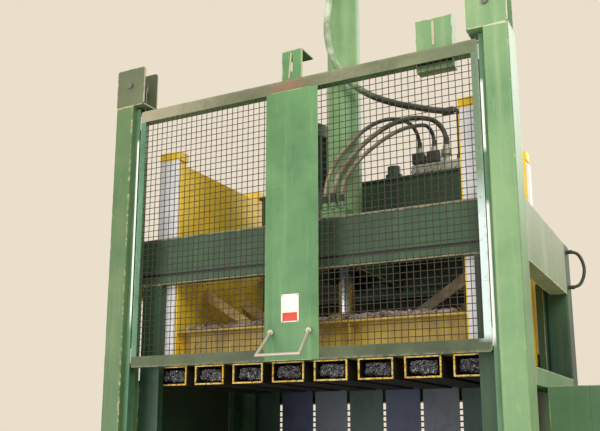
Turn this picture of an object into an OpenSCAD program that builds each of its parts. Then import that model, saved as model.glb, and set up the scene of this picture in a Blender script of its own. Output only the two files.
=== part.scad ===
// Vertical mill-size recycling baler with a counterbalanced mesh gate.
// Millimetres. X runs to the machine's right, Y to the back and Z up.
// The origin is on the floor, at the centre of the four anchor feet.

/* [Main frame] */
// Width over the posts
frame_w = 1730; // [1650:10:1900]
// Depth from the front posts to the rear posts
frame_d = 1020; // [980:10:1120]
// Height of the front posts
post_h = 3010; // [2960:10:3200]
// Height of the rear posts and of the side beams
rear_post_h = 2400; // [2360:10:2500]
// Width of a post seen from the front
post_w = 90; // [86:2:110]
// Depth of a post seen from the side
post_d = 125; // [115:5:140]
// Wall of the post tubes
post_wall = 5; // [3:1:7]
// Height of the base skids
base_h = 100; // [80:5:140]
// Depth of the side beams
side_beam_h = 220; // [160:10:260]
// Height of the chamber side walls
side_wall_h = 1820; // [1700:10:1900]

/* [Cross beams and guides] */
// Underside of the two cross beams
beam_z = 2222; // [2150:2:2260]
// Height of a cross beam
beam_h = 202; // [180:2:240]
// Thickness of a cross beam
beam_t = 38; // [30:1:50]
// Width of a guide jamb seen from the front
jamb_w = 100; // [80:5:120]

/* [Platen] */
// Underside of the platen in its raised place
platen_z = 1798; // [1700:2:1830]
// Number of strap channels across the platen and the floor
channel_n = 8; // [6:1:8]
// Width of one strap channel
channel_w = 139; // [110:1:150]
// Pitch of the strap channels
channel_pitch = 183; // [170:1:185]
// Height of one strap channel
channel_h = 80; // [60:5:90]
// Wall of the strap channels
channel_wall = 6; // [4:1:8]
// Height of the platen's cross channels
deck_h = 150; // [120:5:180]
// Top of the platen's guide posts
guide_top = 2790; // [2700:10:2850]
// Width of a platen guide post
guide_w = 96; // [80:2:100]
// Thickness of the nylon guide pads
pad_t = 10; // [6:1:14]
// Downward travel of the platen
platen_travel = 1000; // [800:10:1050]

/* [Cylinder] */
// Outside diameter of the cylinder barrel
barrel_d = 150; // [130:2:170]
// Bore of the cylinder
bore_d = 120; // [100:2:124]
// Diameter of the piston rod
rod_d = 70; // [50:2:90]
// Top of the cylinder barrel
barrel_top = 3700; // [3660:10:3900]

/* [Gate] */
// Gap between the gate and a post
gate_side_gap = 27; // [24:1:34]
// Bottom edge of the raised gate
gate_z = 1866; // [1850:2:1900]
// Thickness of the gate
gate_t = 35; // [30:1:38]
// Height of the gate's top bar
gate_top_bar = 50; // [40:1:60]
// Height of the gate's bottom bar
gate_low_bar = 45; // [35:1:60]
// Width of the gate's stiles
gate_stile = 26; // [20:1:40]
// Width of the centre panel
panel_w = 228; // [180:2:260]
// Downward travel of the gate
gate_travel = 930; // [700:10:940]
// Wire thickness of the mesh
wire_t = 6; // [3:1:8]
// Rope pitch radius of a sheave
sheave_r = 50; // [45:1:52]
// Diameter of the gate rope
rope_d = 6; // [4:1:8]

/* [Bale door] */
// Top edge of the bale door
door_top = 915; // [850:5:915]
// Thickness of the door over its ribs
door_t = 100; // [80:5:110]

/* [Power pack and control] */
// Width of the oil tank
tank_w = 1020; // [960:10:1060]
// Height of the oil tank
tank_h = 300; // [240:10:330]
// Diameter of the motor
motor_d = 320; // [260:5:330]
// Width of the control cabinet
cabinet_w = 400; // [350:10:420]
// Height of the control cabinet
cabinet_h = 600; // [500:10:700]
// Depth of the control cabinet's body
cabinet_d = 138; // [100:2:180]

/* [Hidden] */
$fn = 48;

paint = "#6c9c6e";
yellow = "#d8b431";
steel = "#8b8d88";
nylon = "#e9ebf2";
rubber = "#2c322c";

eps = 0.01;
half_w = frame_w / 2;
inner_x = half_w - post_w;
front_y = -frame_d / 2;
rear_y = frame_d / 2;
guide_y = front_y + post_d;
rear_post_y = rear_y - post_d;
rear_wall_y = rear_y - 55;
front_run = guide_y + beam_t;
rear_run = rear_wall_y - beam_t;
mid_y = (front_run + rear_run) / 2;
beam_top = beam_z + beam_h;
run_gap = 1.5;
run_fit = 0.06;
weld_gap = 0.05;
plate_t = 8;
jamb_x = inner_x - jamb_w;
rear_panel_t = 6;
wall_rib_h = 60;
rear_rib_h = 80;
low_rib_gap = 60;
rib_levels = [560, 1040, 1460];

floor_plate_t = 6;
floor_z = base_h + floor_plate_t;
foot_size = 80;
foot_t = 12;
foot_hole = 18;
foot_inset = 40;
foot_lap = 20;

guide_d = 50;
side_pad_t = 11.5;
jamb_return_w = 30;
guide_x = inner_x - jamb_return_w - run_gap - side_pad_t - guide_w;
pad_front_y = front_run + run_gap;
post_front_y = pad_front_y + pad_t;
pad_rear_y = rear_run - run_gap;
post_rear_y = pad_rear_y - pad_t;
deck_z = platen_z + channel_h;
deck_top = deck_z + deck_h;
cap_h = 40;
cross_d = 75;
brace_t = 10;
brace_offset = 170;
brace_y = [for (s = [-1, 1]) mid_y + s * brace_offset - brace_t / 2];
deck_rib_x = 165;
deck_rib_t = 10;

seat_w = 260;
seat_d = 210;
seat_t = 30;
seat_bolt_inset = 28;
bearer_t = 40;
bearer_gap = 180;
gland_d = 130;
cap_d = 172;
cylinder_cap_h = 60;
piston_h = 60;
piston_top = barrel_top - 60;
rod_boss_d = 150;
rod_boss_h = 70;
rod_foot_z = deck_top;
rod_fit = 0.3;

gate_w = 2 * (inner_x - gate_side_gap);
gate_top_gap = 25;
gate_top = post_h - gate_top_gap;
gate_y = front_y + 30;
gate_back = gate_y + gate_t;
gate_mid = gate_y + gate_t / 2;
gate_skin = 4;
panel_rise = 8;
panel_t = 3;
panel_flat = 0.68;
rope_front_x = gate_w / 2 - 8;
sheave_x = rope_front_x + sheave_r;
rope_back_x = sheave_x + sheave_r;
rail_t = 3;
rail_gap = 4;
rail_d = gate_t + 5;
rail_x = gate_w / 2 + rail_gap;
bracket_w = 150;
bracket_x = half_w - bracket_w;
bracket_d = 95;
bracket_h = 177;
bracket_t = 6;
sheave_z = post_h + 96;
sheave_t = 22;
sheave_lip = 7;
bolt_d = 16;
weight_h = 700;
weight_top = gate_top - 1035;
weight_gap = 4;

door_hinge_y = front_y - 18;
door_hinge_x = inner_x + 14;
door_low = base_h + 10;
door_back_y = guide_y - 4;
door_edge = 12;
door_front_y = door_back_y - door_t;
door_rib_h = 70;
door_rib_z = [door_low, 300, 500, 700, door_top - door_rib_h];
knuckle_d = 34;
knuckle_leaf = 10;
knuckle_reach = 94;
latch_z = door_rib_z[2] + door_rib_h / 2;
latch_len = 400;
latch_t = 12;
latch_y = front_y - 20;
hinge_h = 90;
hinge_pin_d = 20;
hinge_z = [door_low + 60, (door_low + door_top) / 2 - hinge_h / 2, door_top - 60 - hinge_h];

tank_y = 150;
tank_d = 290;
tank_end = 520;
tank_x = tank_end - tank_w;
tank_top = beam_top + tank_h;
motor_x = tank_x + 155;
motor_y = tank_y + tank_d / 2;
motor_h = 370;
valve_base_h = 70;
filler_x = 150;
filler_d = 80;
valve_x = [tank_end - 245, tank_end - 175];
valve_y = 270;
valve_d = 46;
port_x = tank_end - 115;
pipe_x = tank_end - 43;
pipe_y = 240;
pipe_d = 24;
pipe_top = 3035;
pipe_bend = 26;

cabinet_z = side_wall_h - 55 - cabinet_h;
cabinet_y = -195;
lid_d = 40;
lid_clear = 0.6;
lid_pin_d = 8;
lid_pin_gap = 9;
lid_pin_y = cabinet_y + cabinet_w + lid_pin_gap;
lid_pin_z = [cabinet_z + 80, cabinet_z + cabinet_h - 140];
cabinet_x = half_w;
lid_x = cabinet_x + cabinet_d + lid_clear;
lid_face = lid_x + lid_d;
switch_y = cabinet_y + 70;
switch_z = cabinet_z + cabinet_h - 70;
button_y = cabinet_y + 70;
start_z = cabinet_z + cabinet_h - 200;
stop_z = cabinet_z + cabinet_h - 290;
button_d = 22;

tie_y = gate_back + 12;
tie_d = 40;
tie_z = gate_top - 27;

// Hose routes: points on the centre lines
main_hose_route = [
    [0, -100, barrel_top - 95], [0, -100, barrel_top - 130], [-10, -104, 3500], [-16, -110, 3420],
    [-12, -116, 3340], [6, -116, 3255], [40, -104, 3175], [94, -68, 3105], [164, -10, 3060], [240, 62, 3040],
    [310, 134, 3036], [364, 192, 3035], [408, 228, 3035], [432, 240, 3035], [451, 240, 3035]
];
lower_hose_routes = [
    [[0, -92, 2570], [0, -92, 2605], [14, -86, 2675], [54, -64, 2755], [110, -26, 2835], [172, 22, 2905],
        [234, 72, 2955], [296, 128, 2984], [353, 187, 2990], [380, 224, 2977], [398, 250, 2945],
        [405, 260, 2905], [405, 260, 2880]],
    [[38, -92, 2570], [38, -92, 2600], [52, -90, 2660], [92, -74, 2732], [148, -38, 2802], [206, 12, 2866],
        [258, 70, 2916], [298, 130, 2946], [328, 190, 2966], [338, 228, 2962], [344, 256, 2940],
        [345, 270, 2903], [345, 270, 2886]],
    [[-38, -92, 2570], [-38, -92, 2610], [-22, -92, 2690], [20, -74, 2780], [74, -34, 2866], [130, 18, 2936],
        [184, 80, 2980], [228, 148, 2996], [254, 200, 2990], [266, 236, 2972], [273, 260, 2940],
        [275, 270, 2904], [275, 270, 2886]]
];
lower_hose_d = [22, 18, 18];
rear_hose_d = 14;
rear_hose_route = [
    [865, 440, 2370], [885, 440, 2370], [910, 446, 2360], [926, 452, 2330], [932, 455, 2293], [926, 452, 2256],
    [910, 446, 2226], [885, 440, 2216], [865, 440, 2216]
];

// Basic shapes

module slab(x0, x1, y0, y1, z0, z1) {
    translate([x0, y0, z0]) cube([x1 - x0, y1 - y0, z1 - z0]);
}

module on_side(s) {
    mirror([s < 0 ? 1 : 0, 0, 0]) children();
}

module both_sides() {
    on_side(1) children();
    on_side(-1) children();
}

// A rectangle with round corners, made of squares and circles so that its edges stay true arcs
module round_rect(w, d, r) {
    square([w - 2 * r, d], center = true);
    square([w, d - 2 * r], center = true);
    for (x = [-1, 1], y = [-1, 1]) translate([x * (w / 2 - r), y * (d / 2 - r)]) circle(r);
}

module tube_section(w, d, t, r) {
    difference() {
        round_rect(w, d, r);
        round_rect(w - 2 * t, d - 2 * t, r - t / 2);
    }
}

// A channel whose web lies on Y = 0 and whose flanges point to +Y
module channel_section(w, d, t) {
    difference() {
        translate([-w / 2, 0]) square([w, d]);
        translate([-w / 2 + t, t]) square([w - 2 * t, d]);
    }
}

// Base and floor

module foot_plates() {
    for (x = [-1, 1], y = [-1, 1]) {
        translate([x * (half_w + foot_size / 2), y * (rear_y - foot_inset), foot_t / 2]) difference() {
            translate([-x * foot_lap / 2, 0, 0]) cube([foot_size + foot_lap, foot_size, foot_t], center = true);
            cylinder(d = foot_hole, h = foot_t + 2, center = true);
        }
    }
}

module base_skids() {
    color(paint) {
        both_sides() translate([inner_x + post_w / 2, rear_y, base_h / 2]) rotate([90, 0, 0])
            linear_extrude(frame_d) tube_section(post_w, base_h, post_wall, 8);
        foot_plates();
    }
}

module base_cross_members() {
    cross_len = 2 * inner_x;
    color(paint) for (y = [guide_y - 40, -110, 200, rear_wall_y - 40]) {
        translate([-inner_x, y, 0]) rotate([90, 0, 90]) linear_extrude(cross_len)
            translate([40, base_h]) mirror([0, 1]) channel_section(80, base_h - 12, 6);
    }
}

module floor_plate() {
    color(paint) slab(-inner_x, inner_x, guide_y, rear_wall_y, base_h, floor_z);
}

// A row of strap channels, open at both ends
module channel_row(y0, y1, z0) {
    for (i = [0 : channel_n - 1]) {
        x = (i - (channel_n - 1) / 2) * channel_pitch;
        translate([x, y1, z0 + channel_h / 2]) rotate([90, 0, 0]) linear_extrude(y1 - y0)
            difference() {
                square([channel_w, channel_h], center = true);
                square([channel_w - 2 * channel_wall, channel_h - 2 * channel_wall], center = true);
            }
    }
}

module floor_channels() {
    color(steel) channel_row(front_run, rear_run, floor_z);
}

// Posts, walls and beams

module post(y0, y1, top) {
    translate([inner_x + post_w / 2, (y0 + y1) / 2, base_h])
        linear_extrude(top - base_h) tube_section(post_w, y1 - y0, post_wall, 8);
}

module front_post(s) {
    color(paint) on_side(s) post(front_y, guide_y, post_h);
}

module rear_post(s) {
    color(paint) on_side(s) post(rear_post_y, rear_y, rear_post_h);
}

module front_post_left() { front_post(-1); }
module front_post_right() { front_post(1); }
module rear_post_left() { rear_post(-1); }
module rear_post_right() { rear_post(1); }

module front_jambs() {
    color(paint) both_sides() translate([jamb_x + jamb_w / 2, guide_y + beam_t / 2, floor_z])
        linear_extrude(beam_z - floor_z) tube_section(jamb_w, beam_t, 5, 4);
}

module rear_jambs() {
    return_d = 90;
    color(paint) both_sides() {
        slab(jamb_x, inner_x, rear_run, rear_wall_y, floor_z, beam_z);
        slab(inner_x - jamb_return_w, inner_x, rear_run - return_d, rear_run, floor_z + channel_h, beam_z);
    }
}

module side_wall(s) {
    rib_z = concat(floor_z + low_rib_gap, rib_levels, side_wall_h - wall_rib_h);
    color(paint) on_side(s) {
        slab(inner_x, inner_x + plate_t, guide_y, rear_post_y, base_h, side_wall_h);
        for (z = rib_z) translate([half_w, guide_y, z + wall_rib_h / 2]) rotate([-90, 0, 0])
            linear_extrude(rear_post_y - guide_y) rotate(90)
                channel_section(wall_rib_h, half_w - inner_x - plate_t, 6);
    }
}

module side_wall_left() { side_wall(-1); }
module side_wall_right() { side_wall(1); }

module side_beam(s) {
    flange = 60;
    z0 = rear_post_h - side_beam_h;
    color(paint) on_side(s) {
        slab(half_w - plate_t, half_w, guide_y, rear_post_y, z0, rear_post_h);
        for (z = [z0, rear_post_h - plate_t])
            slab(half_w - plate_t - flange, half_w - plate_t, front_run, rear_post_y, z, z + plate_t);
    }
}

module side_beam_left() { side_beam(-1); }
module side_beam_right() { side_beam(1); }

// A cross beam is a hollow section on a bottom rail, with a groove between the two
module cross_beam(len) {
    rail_h = 40;
    groove_d = 3;
    groove_h = 4;
    wall = 12;
    face_wall = 10;
    back_wall = 8;
    cavity_h = beam_h - rail_h - 2 * wall;
    difference() {
        translate([-len / 2, 0, 0]) cube([len, beam_t, beam_h]);
        translate([-len / 2 - 1, -1, rail_h]) cube([len + 2, groove_d + 1, groove_h]);
        translate([-len / 2 - 1, face_wall, rail_h + wall])
            cube([len + 2, beam_t - face_wall - back_wall, cavity_h]);
    }
}

module front_beam() {
    color(paint) translate([0, guide_y, beam_z]) cross_beam(2 * (half_w - plate_t));
}

module rear_beam() {
    color(paint) translate([0, rear_wall_y, beam_z]) mirror([0, 1, 0]) cross_beam(2 * inner_x);
}

module rear_panels() {
    panel = channel_pitch - 15;
    color("#2d4047") for (i = [0 : channel_n - 1]) {
        x = (i - (channel_n - 1) / 2) * channel_pitch;
        slab(x - panel / 2, x + panel / 2, rear_wall_y, rear_wall_y + rear_panel_t, floor_z, side_wall_h);
    }
}

module rear_ribs() {
    rib_d = rear_y - rear_wall_y - rear_panel_t;
    rib_z = concat(floor_z + low_rib_gap, rib_levels, side_wall_h - rear_rib_h);
    color(paint) for (z = rib_z) {
        translate([-inner_x, rear_y, z + rear_rib_h / 2]) rotate([90, 0, 90])
            linear_extrude(2 * inner_x) rotate(90) channel_section(rear_rib_h, rib_d, 6);
    }
}

// Cylinder

module cylinder_bearers() {
    color(paint) both_sides()
        slab(bearer_gap / 2, bearer_gap / 2 + bearer_t, front_run, rear_run, beam_z + 42, beam_top);
}

module cylinder_barrel() {
    color(paint) translate([0, mid_y, 0]) difference() {
        union() {
            translate([0, 0, beam_top + seat_t / 2]) cube([seat_w, seat_d, seat_t], center = true);
            for (x = [-1, 1], y = [-1, 1])
                translate([x * (bearer_gap + bearer_t) / 2, y * (seat_d / 2 - seat_bolt_inset), beam_top]) rotate(30)
                    cylinder(d = 34, h = seat_t + 14, $fn = 6);
            translate([0, 0, beam_top]) cylinder(d = barrel_d, h = barrel_top - beam_top);
            translate([0, 0, barrel_top]) cylinder(d = cap_d, h = cylinder_cap_h);
            translate([0, 0, barrel_top - 24]) cylinder(d1 = barrel_d, d2 = cap_d, h = 24, $fn = 64);
            port_block(46, 86, barrel_top - 65);
            translate([0, -100 - mid_y, barrel_top - 95]) cylinder(d = 34, h = 32);
            port_block(116, 78, beam_top + 70);
            for (x = [-38, 0, 38]) translate([x, -92 - mid_y, beam_top + 118]) cylinder(d = 28, h = 28);
        }
        translate([0, 0, beam_top - 1]) cylinder(d = bore_d, h = barrel_top - beam_top + 1);
    }
}

// A port block on the barrel's front, reaching out from inside its wall
module port_block(w, reach, z) {
    translate([-w / 2, -barrel_d / 2 - reach + 20, z]) cube([w, reach, 50]);
}

module cylinder_gland() {
    color(steel) translate([0, mid_y, 0]) difference() {
        union() {
            translate([0, 0, beam_top - 60]) cylinder(d = gland_d, h = 60 - eps);
            translate([0, 0, beam_top - eps]) cylinder(d = bore_d - 1, h = 50);
        }
        translate([0, 0, beam_top - 61]) cylinder(d = rod_d + 1, h = 120);
    }
}

module piston_rod() {
    color("#c9ccd0") translate([0, mid_y, 0]) {
        translate([0, 0, rod_foot_z]) cylinder(d = rod_d, h = piston_top - piston_h - rod_foot_z);
        translate([0, 0, piston_top - piston_h]) cylinder(d = bore_d - 1, h = piston_h);
    }
}

// Platen

module platen_channels() {
    color(yellow) channel_row(post_front_y, post_rear_y, platen_z);
}

// The deck: a front and a rear cross channel, two lengthwise ribs and the rod's socket
module platen_deck() {
    deck_x = guide_x - plate_t;
    color(yellow) difference() {
        union() {
            translate([0, post_front_y, deck_z]) deck_channel(deck_x);
            translate([0, post_rear_y, deck_z]) mirror([0, 1, 0]) deck_channel(deck_x);
            for (s = [-1, 1]) translate([s * deck_rib_x, 0, 0])
                slab(-deck_rib_t / 2, deck_rib_t / 2, post_front_y + 12, post_rear_y - 12, deck_z, deck_top - 10);
            for (y = brace_y) slab(-deck_x, deck_x, y, y + brace_t, deck_z, deck_top - brace_t);
            slab(-deck_rib_x, deck_rib_x, mid_y - 110, mid_y + 110, deck_z, deck_z + 12);
            translate([0, mid_y, deck_z]) cylinder(d = rod_boss_d, h = deck_h + rod_boss_h);
        }
        translate([0, mid_y, rod_foot_z]) cylinder(d = rod_d + 2 * rod_fit, h = deck_h);
    }
}

module deck_channel(deck_x) {
    translate([-deck_x, 0, 0]) difference() {
        cube([2 * deck_x, cross_d, deck_h]);
        translate([-1, -1, 10]) cube([2 * deck_x + 2, cross_d - 9, deck_h - 20]);
    }
}

// Four flat braces run from the side plates down to the deck's cross ribs
module platen_braces() {
    brace_w = 46;
    foot_x = 300;
    side_x = guide_x - plate_t;
    rise = 175;
    color(yellow) both_sides() for (y = brace_y) translate([0, y + brace_t, deck_top - brace_t])
        rotate([90, 0, 0]) linear_extrude(brace_t) polygon([
            [foot_x, 0], [foot_x + brace_w, 0], [side_x, rise], [side_x, rise + brace_w - 8],
            [side_x - 22, rise + brace_w - 8], [foot_x, 12]
        ]);
}

module platen_side(s) {
    post_len = guide_top - deck_z;
    color(yellow) on_side(s) {
        difference() {
            slab(guide_x - plate_t, guide_x, post_front_y, post_rear_y, deck_z, guide_top - 18);
            translate([guide_x - plate_t - 1, post_rear_y - 150, guide_top - 60]) rotate([0, 90, 0])
                cylinder(d = 14, h = plate_t + 2);
        }
        for (y = [post_front_y + guide_d / 2, post_rear_y - guide_d / 2])
            translate([guide_x + guide_w / 2, y, deck_z]) linear_extrude(post_len)
                tube_section(guide_w, guide_d, 5, 6);
        slab(guide_x - plate_t, guide_x + guide_w + 6, pad_front_y, post_front_y + guide_d, guide_top, guide_top + cap_h);
        slab(guide_x - plate_t, guide_x + guide_w + 6, post_rear_y - guide_d, pad_rear_y, guide_top, guide_top + cap_h);
    }
}

module platen_side_left() { platen_side(-1); }
module platen_side_right() { platen_side(1); }

module guide_pads() {
    z0 = deck_z + 50;
    side_pad_x = guide_x + guide_w;
    color(nylon) both_sides() {
        slab(guide_x, guide_x + guide_w, pad_front_y, post_front_y, z0, guide_top);
        slab(guide_x, guide_x + guide_w, post_rear_y, pad_rear_y, z0, guide_top);
        slab(side_pad_x, side_pad_x + side_pad_t, post_rear_y - guide_d, post_rear_y - 4, z0, guide_top - 20);
    }
}

// Gate

module gate_frame() {
    z_low = gate_low_bar;
    z_high = gate_top - gate_z - gate_top_bar;
    rim_w = gate_w - 2 * gate_skin;
    color(paint) translate([0, gate_back, gate_z]) rotate([90, 0, 0]) difference() {
        linear_extrude(gate_t) translate([0, (gate_top - gate_z) / 2]) round_rect(gate_w, gate_top - gate_z, 12);
        translate([-rim_w / 2, gate_skin, -1])
            cube([rim_w, gate_top - gate_z - 2 * gate_skin, gate_t - gate_skin + 1]);
        translate([-gate_w / 2 + gate_stile, z_low, -1])
            cube([gate_w - 2 * gate_stile, z_high - z_low, gate_t + 2]);
    }
}

// One field of welded wires: upright wires in front, level wires behind
module mesh_field(x0, x1) {
    z0 = gate_z + gate_skin;
    z1 = gate_top - gate_skin;
    y0 = gate_y + gate_skin;
    cols = 8;
    rows = 15;
    step_x = (x1 - x0 - wire_t) / cols;
    step_z = (z1 - z0 - wire_t) / rows;
    for (i = [0 : cols]) slab(x0 + i * step_x, x0 + i * step_x + wire_t, y0, y0 + wire_t, z0, z1);
    for (k = [0 : rows]) slab(x0, x1, y0 + wire_t / 2, y0 + wire_t * 1.5, z0 + k * step_z, z0 + k * step_z + wire_t);
}

module gate_mesh(s) {
    color(steel) on_side(s) mesh_field(panel_w / 2 - 20, gate_w / 2 - gate_skin);
}

module gate_mesh_left() { gate_mesh(-1); }
module gate_mesh_right() { gate_mesh(1); }

// The centre panel is one folded sheet: a raised middle with two sloping edges
module panel_outline(w, rise) {
    polygon([[-w / 2, 0], [-w / 2 * panel_flat, -rise], [w / 2 * panel_flat, -rise], [w / 2, 0]]);
}

module gate_panel() {
    color(paint) translate([0, gate_y, gate_z]) linear_extrude(gate_top - gate_z - gate_top_bar)
        difference() {
            union() {
                translate([0, -panel_t]) panel_outline(panel_w, panel_rise);
                translate([-panel_w / 2, -panel_t]) square([panel_w, panel_t]);
            }
            panel_outline(panel_w - 2 * panel_t, panel_rise);
        }
}

// A bent rod: two legs come forward and down from the panel to a level grip
module gate_handle() {
    rod = 12;
    reach = 97;
    grip_z = gate_z + 14;
    leg_z = gate_z + 106;
    leg_x = 80;
    grip_x = 88;
    face_y = gate_y - panel_t - panel_rise;
    color(steel) {
        for (s = [-1, 1]) {
            rod_between([s * leg_x, face_y - rod / 2, leg_z], [s * grip_x, face_y - reach, grip_z], rod);
            translate([s * grip_x, face_y - reach, grip_z]) sphere(d = rod + 1);
            translate([s * leg_x, face_y, leg_z]) rotate([90, 0, 0]) cylinder(d = 22, h = 8);
        }
        rod_between([-grip_x, face_y - reach, grip_z], [grip_x, face_y - reach, grip_z], rod);
    }
}

module rod_between(a, b, d) {
    v = b - a;
    len = norm(v);
    translate(a) rotate([0, acos(v[2] / len), atan2(v[1], v[0])]) cylinder(d = d, h = len);
}

module gate_shoes() {
    shoe_h = 60;
    color(nylon) both_sides() for (z = [gate_z + 20, gate_top - 20 - shoe_h])
        slab(gate_w / 2, inner_x - rail_t - 1, gate_y + 2, gate_back - 2, z, z + shoe_h);
}

module gate_rails() {
    color(paint) both_sides() translate([inner_x, gate_mid, door_top + 10]) rotate(90)
        linear_extrude(post_h - door_top - 20) channel_section(rail_d, inner_x - rail_x, rail_t);
}

// Counterbalance

module sheave_bracket(s) {
    plate_y = [front_y, front_y + bracket_d - bracket_t];
    hole = rope_d + 10;
    color(paint) on_side(s) difference() {
        union() {
            for (y = plate_y) translate([bracket_x + bracket_w / 2, y + bracket_t, post_h + bracket_h / 2])
                rotate([90, 0, 0]) linear_extrude(bracket_t) round_rect(bracket_w, bracket_h, 14);
            slab(bracket_x, half_w, front_y + bracket_t, front_y + bracket_d - bracket_t, post_h, post_h + bracket_t);
        }
        for (x = [rope_front_x, rope_back_x])
            translate([x, gate_mid, post_h - 1]) cylinder(d = hole, h = bracket_t + 2);
        translate([sheave_x, front_y - 1, sheave_z]) rotate([-90, 0, 0])
            cylinder(d = bolt_d + 2 * run_fit, h = bracket_d + 2);
    }
}

module sheave_bracket_left() { sheave_bracket(-1); }
module sheave_bracket_right() { sheave_bracket(1); }

module sheave(s) {
    groove_r = sheave_r - rope_d / 2 - 0.4;
    rim_r = sheave_r + rope_d / 2 + 2;
    color(steel) on_side(s) translate([sheave_x, gate_mid, sheave_z]) rotate([90, 0, 0]) rotate_extrude()
        polygon([
            [bolt_d / 2 + run_fit, -sheave_t / 2], [20, -sheave_t / 2], [22, -sheave_lip], [rim_r, -sheave_lip],
            [groove_r, -rope_d / 2 - 0.4], [groove_r, rope_d / 2 + 0.4],
            [rim_r, sheave_lip], [22, sheave_lip], [20, sheave_t / 2], [bolt_d / 2 + run_fit, sheave_t / 2]
        ]);
}

module sheave_left() { sheave(-1); }
module sheave_right() { sheave(1); }

module sheave_bolts() {
    head_h = 9;
    spacer = (bracket_d - 2 * bracket_t - sheave_t) / 2 - 0.5;
    color(steel) both_sides() translate([sheave_x, front_y, sheave_z]) rotate([-90, 0, 0]) {
        translate([0, 0, -head_h]) cylinder(d = 26, h = head_h, $fn = 6);
        cylinder(d = bolt_d, h = bracket_d);
        for (y = [bracket_t, bracket_d - bracket_t - spacer]) translate([0, 0, y]) cylinder(d = 26, h = spacer);
        translate([0, 0, bracket_d]) cylinder(d = 26, h = head_h, $fn = 6);
    }
}

module counterweight(s) {
    x1 = half_w - post_wall - 2;
    x0 = 2 * rope_back_x - x1;
    y0 = front_y + post_wall + weight_gap;
    y1 = 2 * gate_mid - y0;
    color(steel) on_side(s) slab(x0, x1, y0, y1, weight_top - weight_h, weight_top);
}

module counterweight_left() { counterweight(-1); }
module counterweight_right() { counterweight(1); }

module gate_ropes() {
    color(steel) both_sides() {
        translate([rope_front_x, gate_mid, gate_top]) cylinder(d = rope_d, h = sheave_z - gate_top);
        translate([rope_back_x, gate_mid, weight_top]) cylinder(d = rope_d, h = sheave_z - weight_top);
        translate([sheave_x, gate_mid, sheave_z]) rotate([90, 0, 0]) rotate_extrude(angle = 180)
            translate([sheave_r, 0]) circle(d = rope_d);
    }
}

// Tie behind the raised gate's top bar, with the latch bracket and the switch housing

module top_tie() {
    color(paint) translate([-inner_x, tie_y + tie_d / 2, tie_z + tie_d / 2]) rotate([90, 0, 90])
        linear_extrude(2 * inner_x) tube_section(tie_d, tie_d, 4, 5);
}

// A slot in the face of a bracket, that far below the bracket's top
module bracket_slot(x, w, top_z) {
    slot_low = 95;
    slot_high = 18;
    slab(x, x + w, tie_y - 7, tie_y + 1, top_z - slot_low, top_z - slot_high);
}

// An upright plate with a top flange
module latch_bracket() {
    x0 = -68;
    w = 92;
    top_z = gate_top + 150;
    wall = 6;
    color(paint) difference() {
        union() {
            slab(x0, x0 + w, tie_y - wall, tie_y, tie_z, top_z);
            slab(x0, x0 + w, tie_y, tie_y + 100, top_z - wall, top_z);
            slab(x0, x0 + wall, tie_y, tie_y + 30, tie_z + tie_d, top_z - wall);
        }
        bracket_slot(x0 + 40, 9, top_z);
    }
}

module switch_box() {
    x0 = 505;
    w = 143;
    top_z = gate_top + 143;
    low_z = gate_top - 64;
    wall = 5;
    color(paint) difference() {
        union() {
            slab(x0, x0 + w, tie_y - 6, tie_y, tie_z, top_z);
            slab(x0, x0 + w, tie_y + tie_d, tie_y + tie_d + 4, low_z, top_z);
            slab(x0, x0 + w, tie_y, tie_y + tie_d, top_z - wall, top_z);
            for (x = [x0, x0 + w - wall], z = [[tie_z + tie_d, top_z], [low_z, tie_z]])
                slab(x, x + wall, tie_y - 6, tie_y + tie_d, z[0], z[1]);
            slab(x0, x0 + w, tie_y - 6, tie_y + tie_d, low_z, low_z + 22);
        }
        bracket_slot(x0 + 66, 8, top_z);
    }
}

// Bale door

// The latch's keeper is two plates welded to the door: an arm and the lip at its end
module bale_door() {
    door_x = inner_x - door_edge;
    hook_w = 30;
    hook_t = 8;
    hook_x = inner_x + post_w / 2 - latch_len * 0.85;
    hook_y = latch_y - 12;
    color(paint) {
        slab(-door_x, door_x, door_back_y - plate_t, door_back_y, door_low, door_top);
        for (z = door_rib_z) translate([-door_x, door_front_y, z + door_rib_h / 2]) rotate([90, 0, 90])
            linear_extrude(2 * door_x) rotate(-90) channel_section(door_rib_h, door_t - plate_t, 6);
        for (x = [-door_x, door_x - 6])
            slab(x, x + 6, door_front_y, door_back_y - plate_t, door_low, door_top);
        for (z = hinge_z) door_knuckle(z);
        slab(hook_x, hook_x + hook_w, hook_y + hook_t + weld_gap, door_front_y - weld_gap, latch_z + 18, latch_z + 34);
        slab(hook_x, hook_x + hook_w, hook_y, hook_y + hook_t, latch_z - 20, latch_z + 34);
    }
}

module door_knuckle(z) {
    arm_x = -door_hinge_x + knuckle_reach;
    pad_w = 60;
    leaf_back = door_hinge_y - knuckle_d / 2 + knuckle_leaf;
    difference() {
        union() {
            translate([-door_hinge_x, door_hinge_y, z]) cylinder(d = knuckle_d, h = hinge_h);
            slab(-door_hinge_x, arm_x, leaf_back - knuckle_leaf, leaf_back, z, z + hinge_h);
            slab(arm_x - pad_w, arm_x, leaf_back, door_front_y, z, z + hinge_h);
        }
        translate([-door_hinge_x, door_hinge_y, z - 1]) cylinder(d = hinge_pin_d + 2 * run_fit, h = hinge_h + 2);
    }
}

module door_hinges() {
    leaf_h = 39;
    color(steel) for (z = hinge_z) {
        translate([-door_hinge_x, door_hinge_y, z - leaf_h - 1]) cylinder(d = hinge_pin_d, h = hinge_h + 2 * leaf_h + 2);
        for (zz = [z - leaf_h - 1, z + hinge_h + 1]) {
            translate([-door_hinge_x, door_hinge_y, zz]) cylinder(d = knuckle_d, h = leaf_h);
            slab(-door_hinge_x - 45, -door_hinge_x, door_hinge_y + 6, front_y, zz, zz + leaf_h);
        }
    }
}

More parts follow.
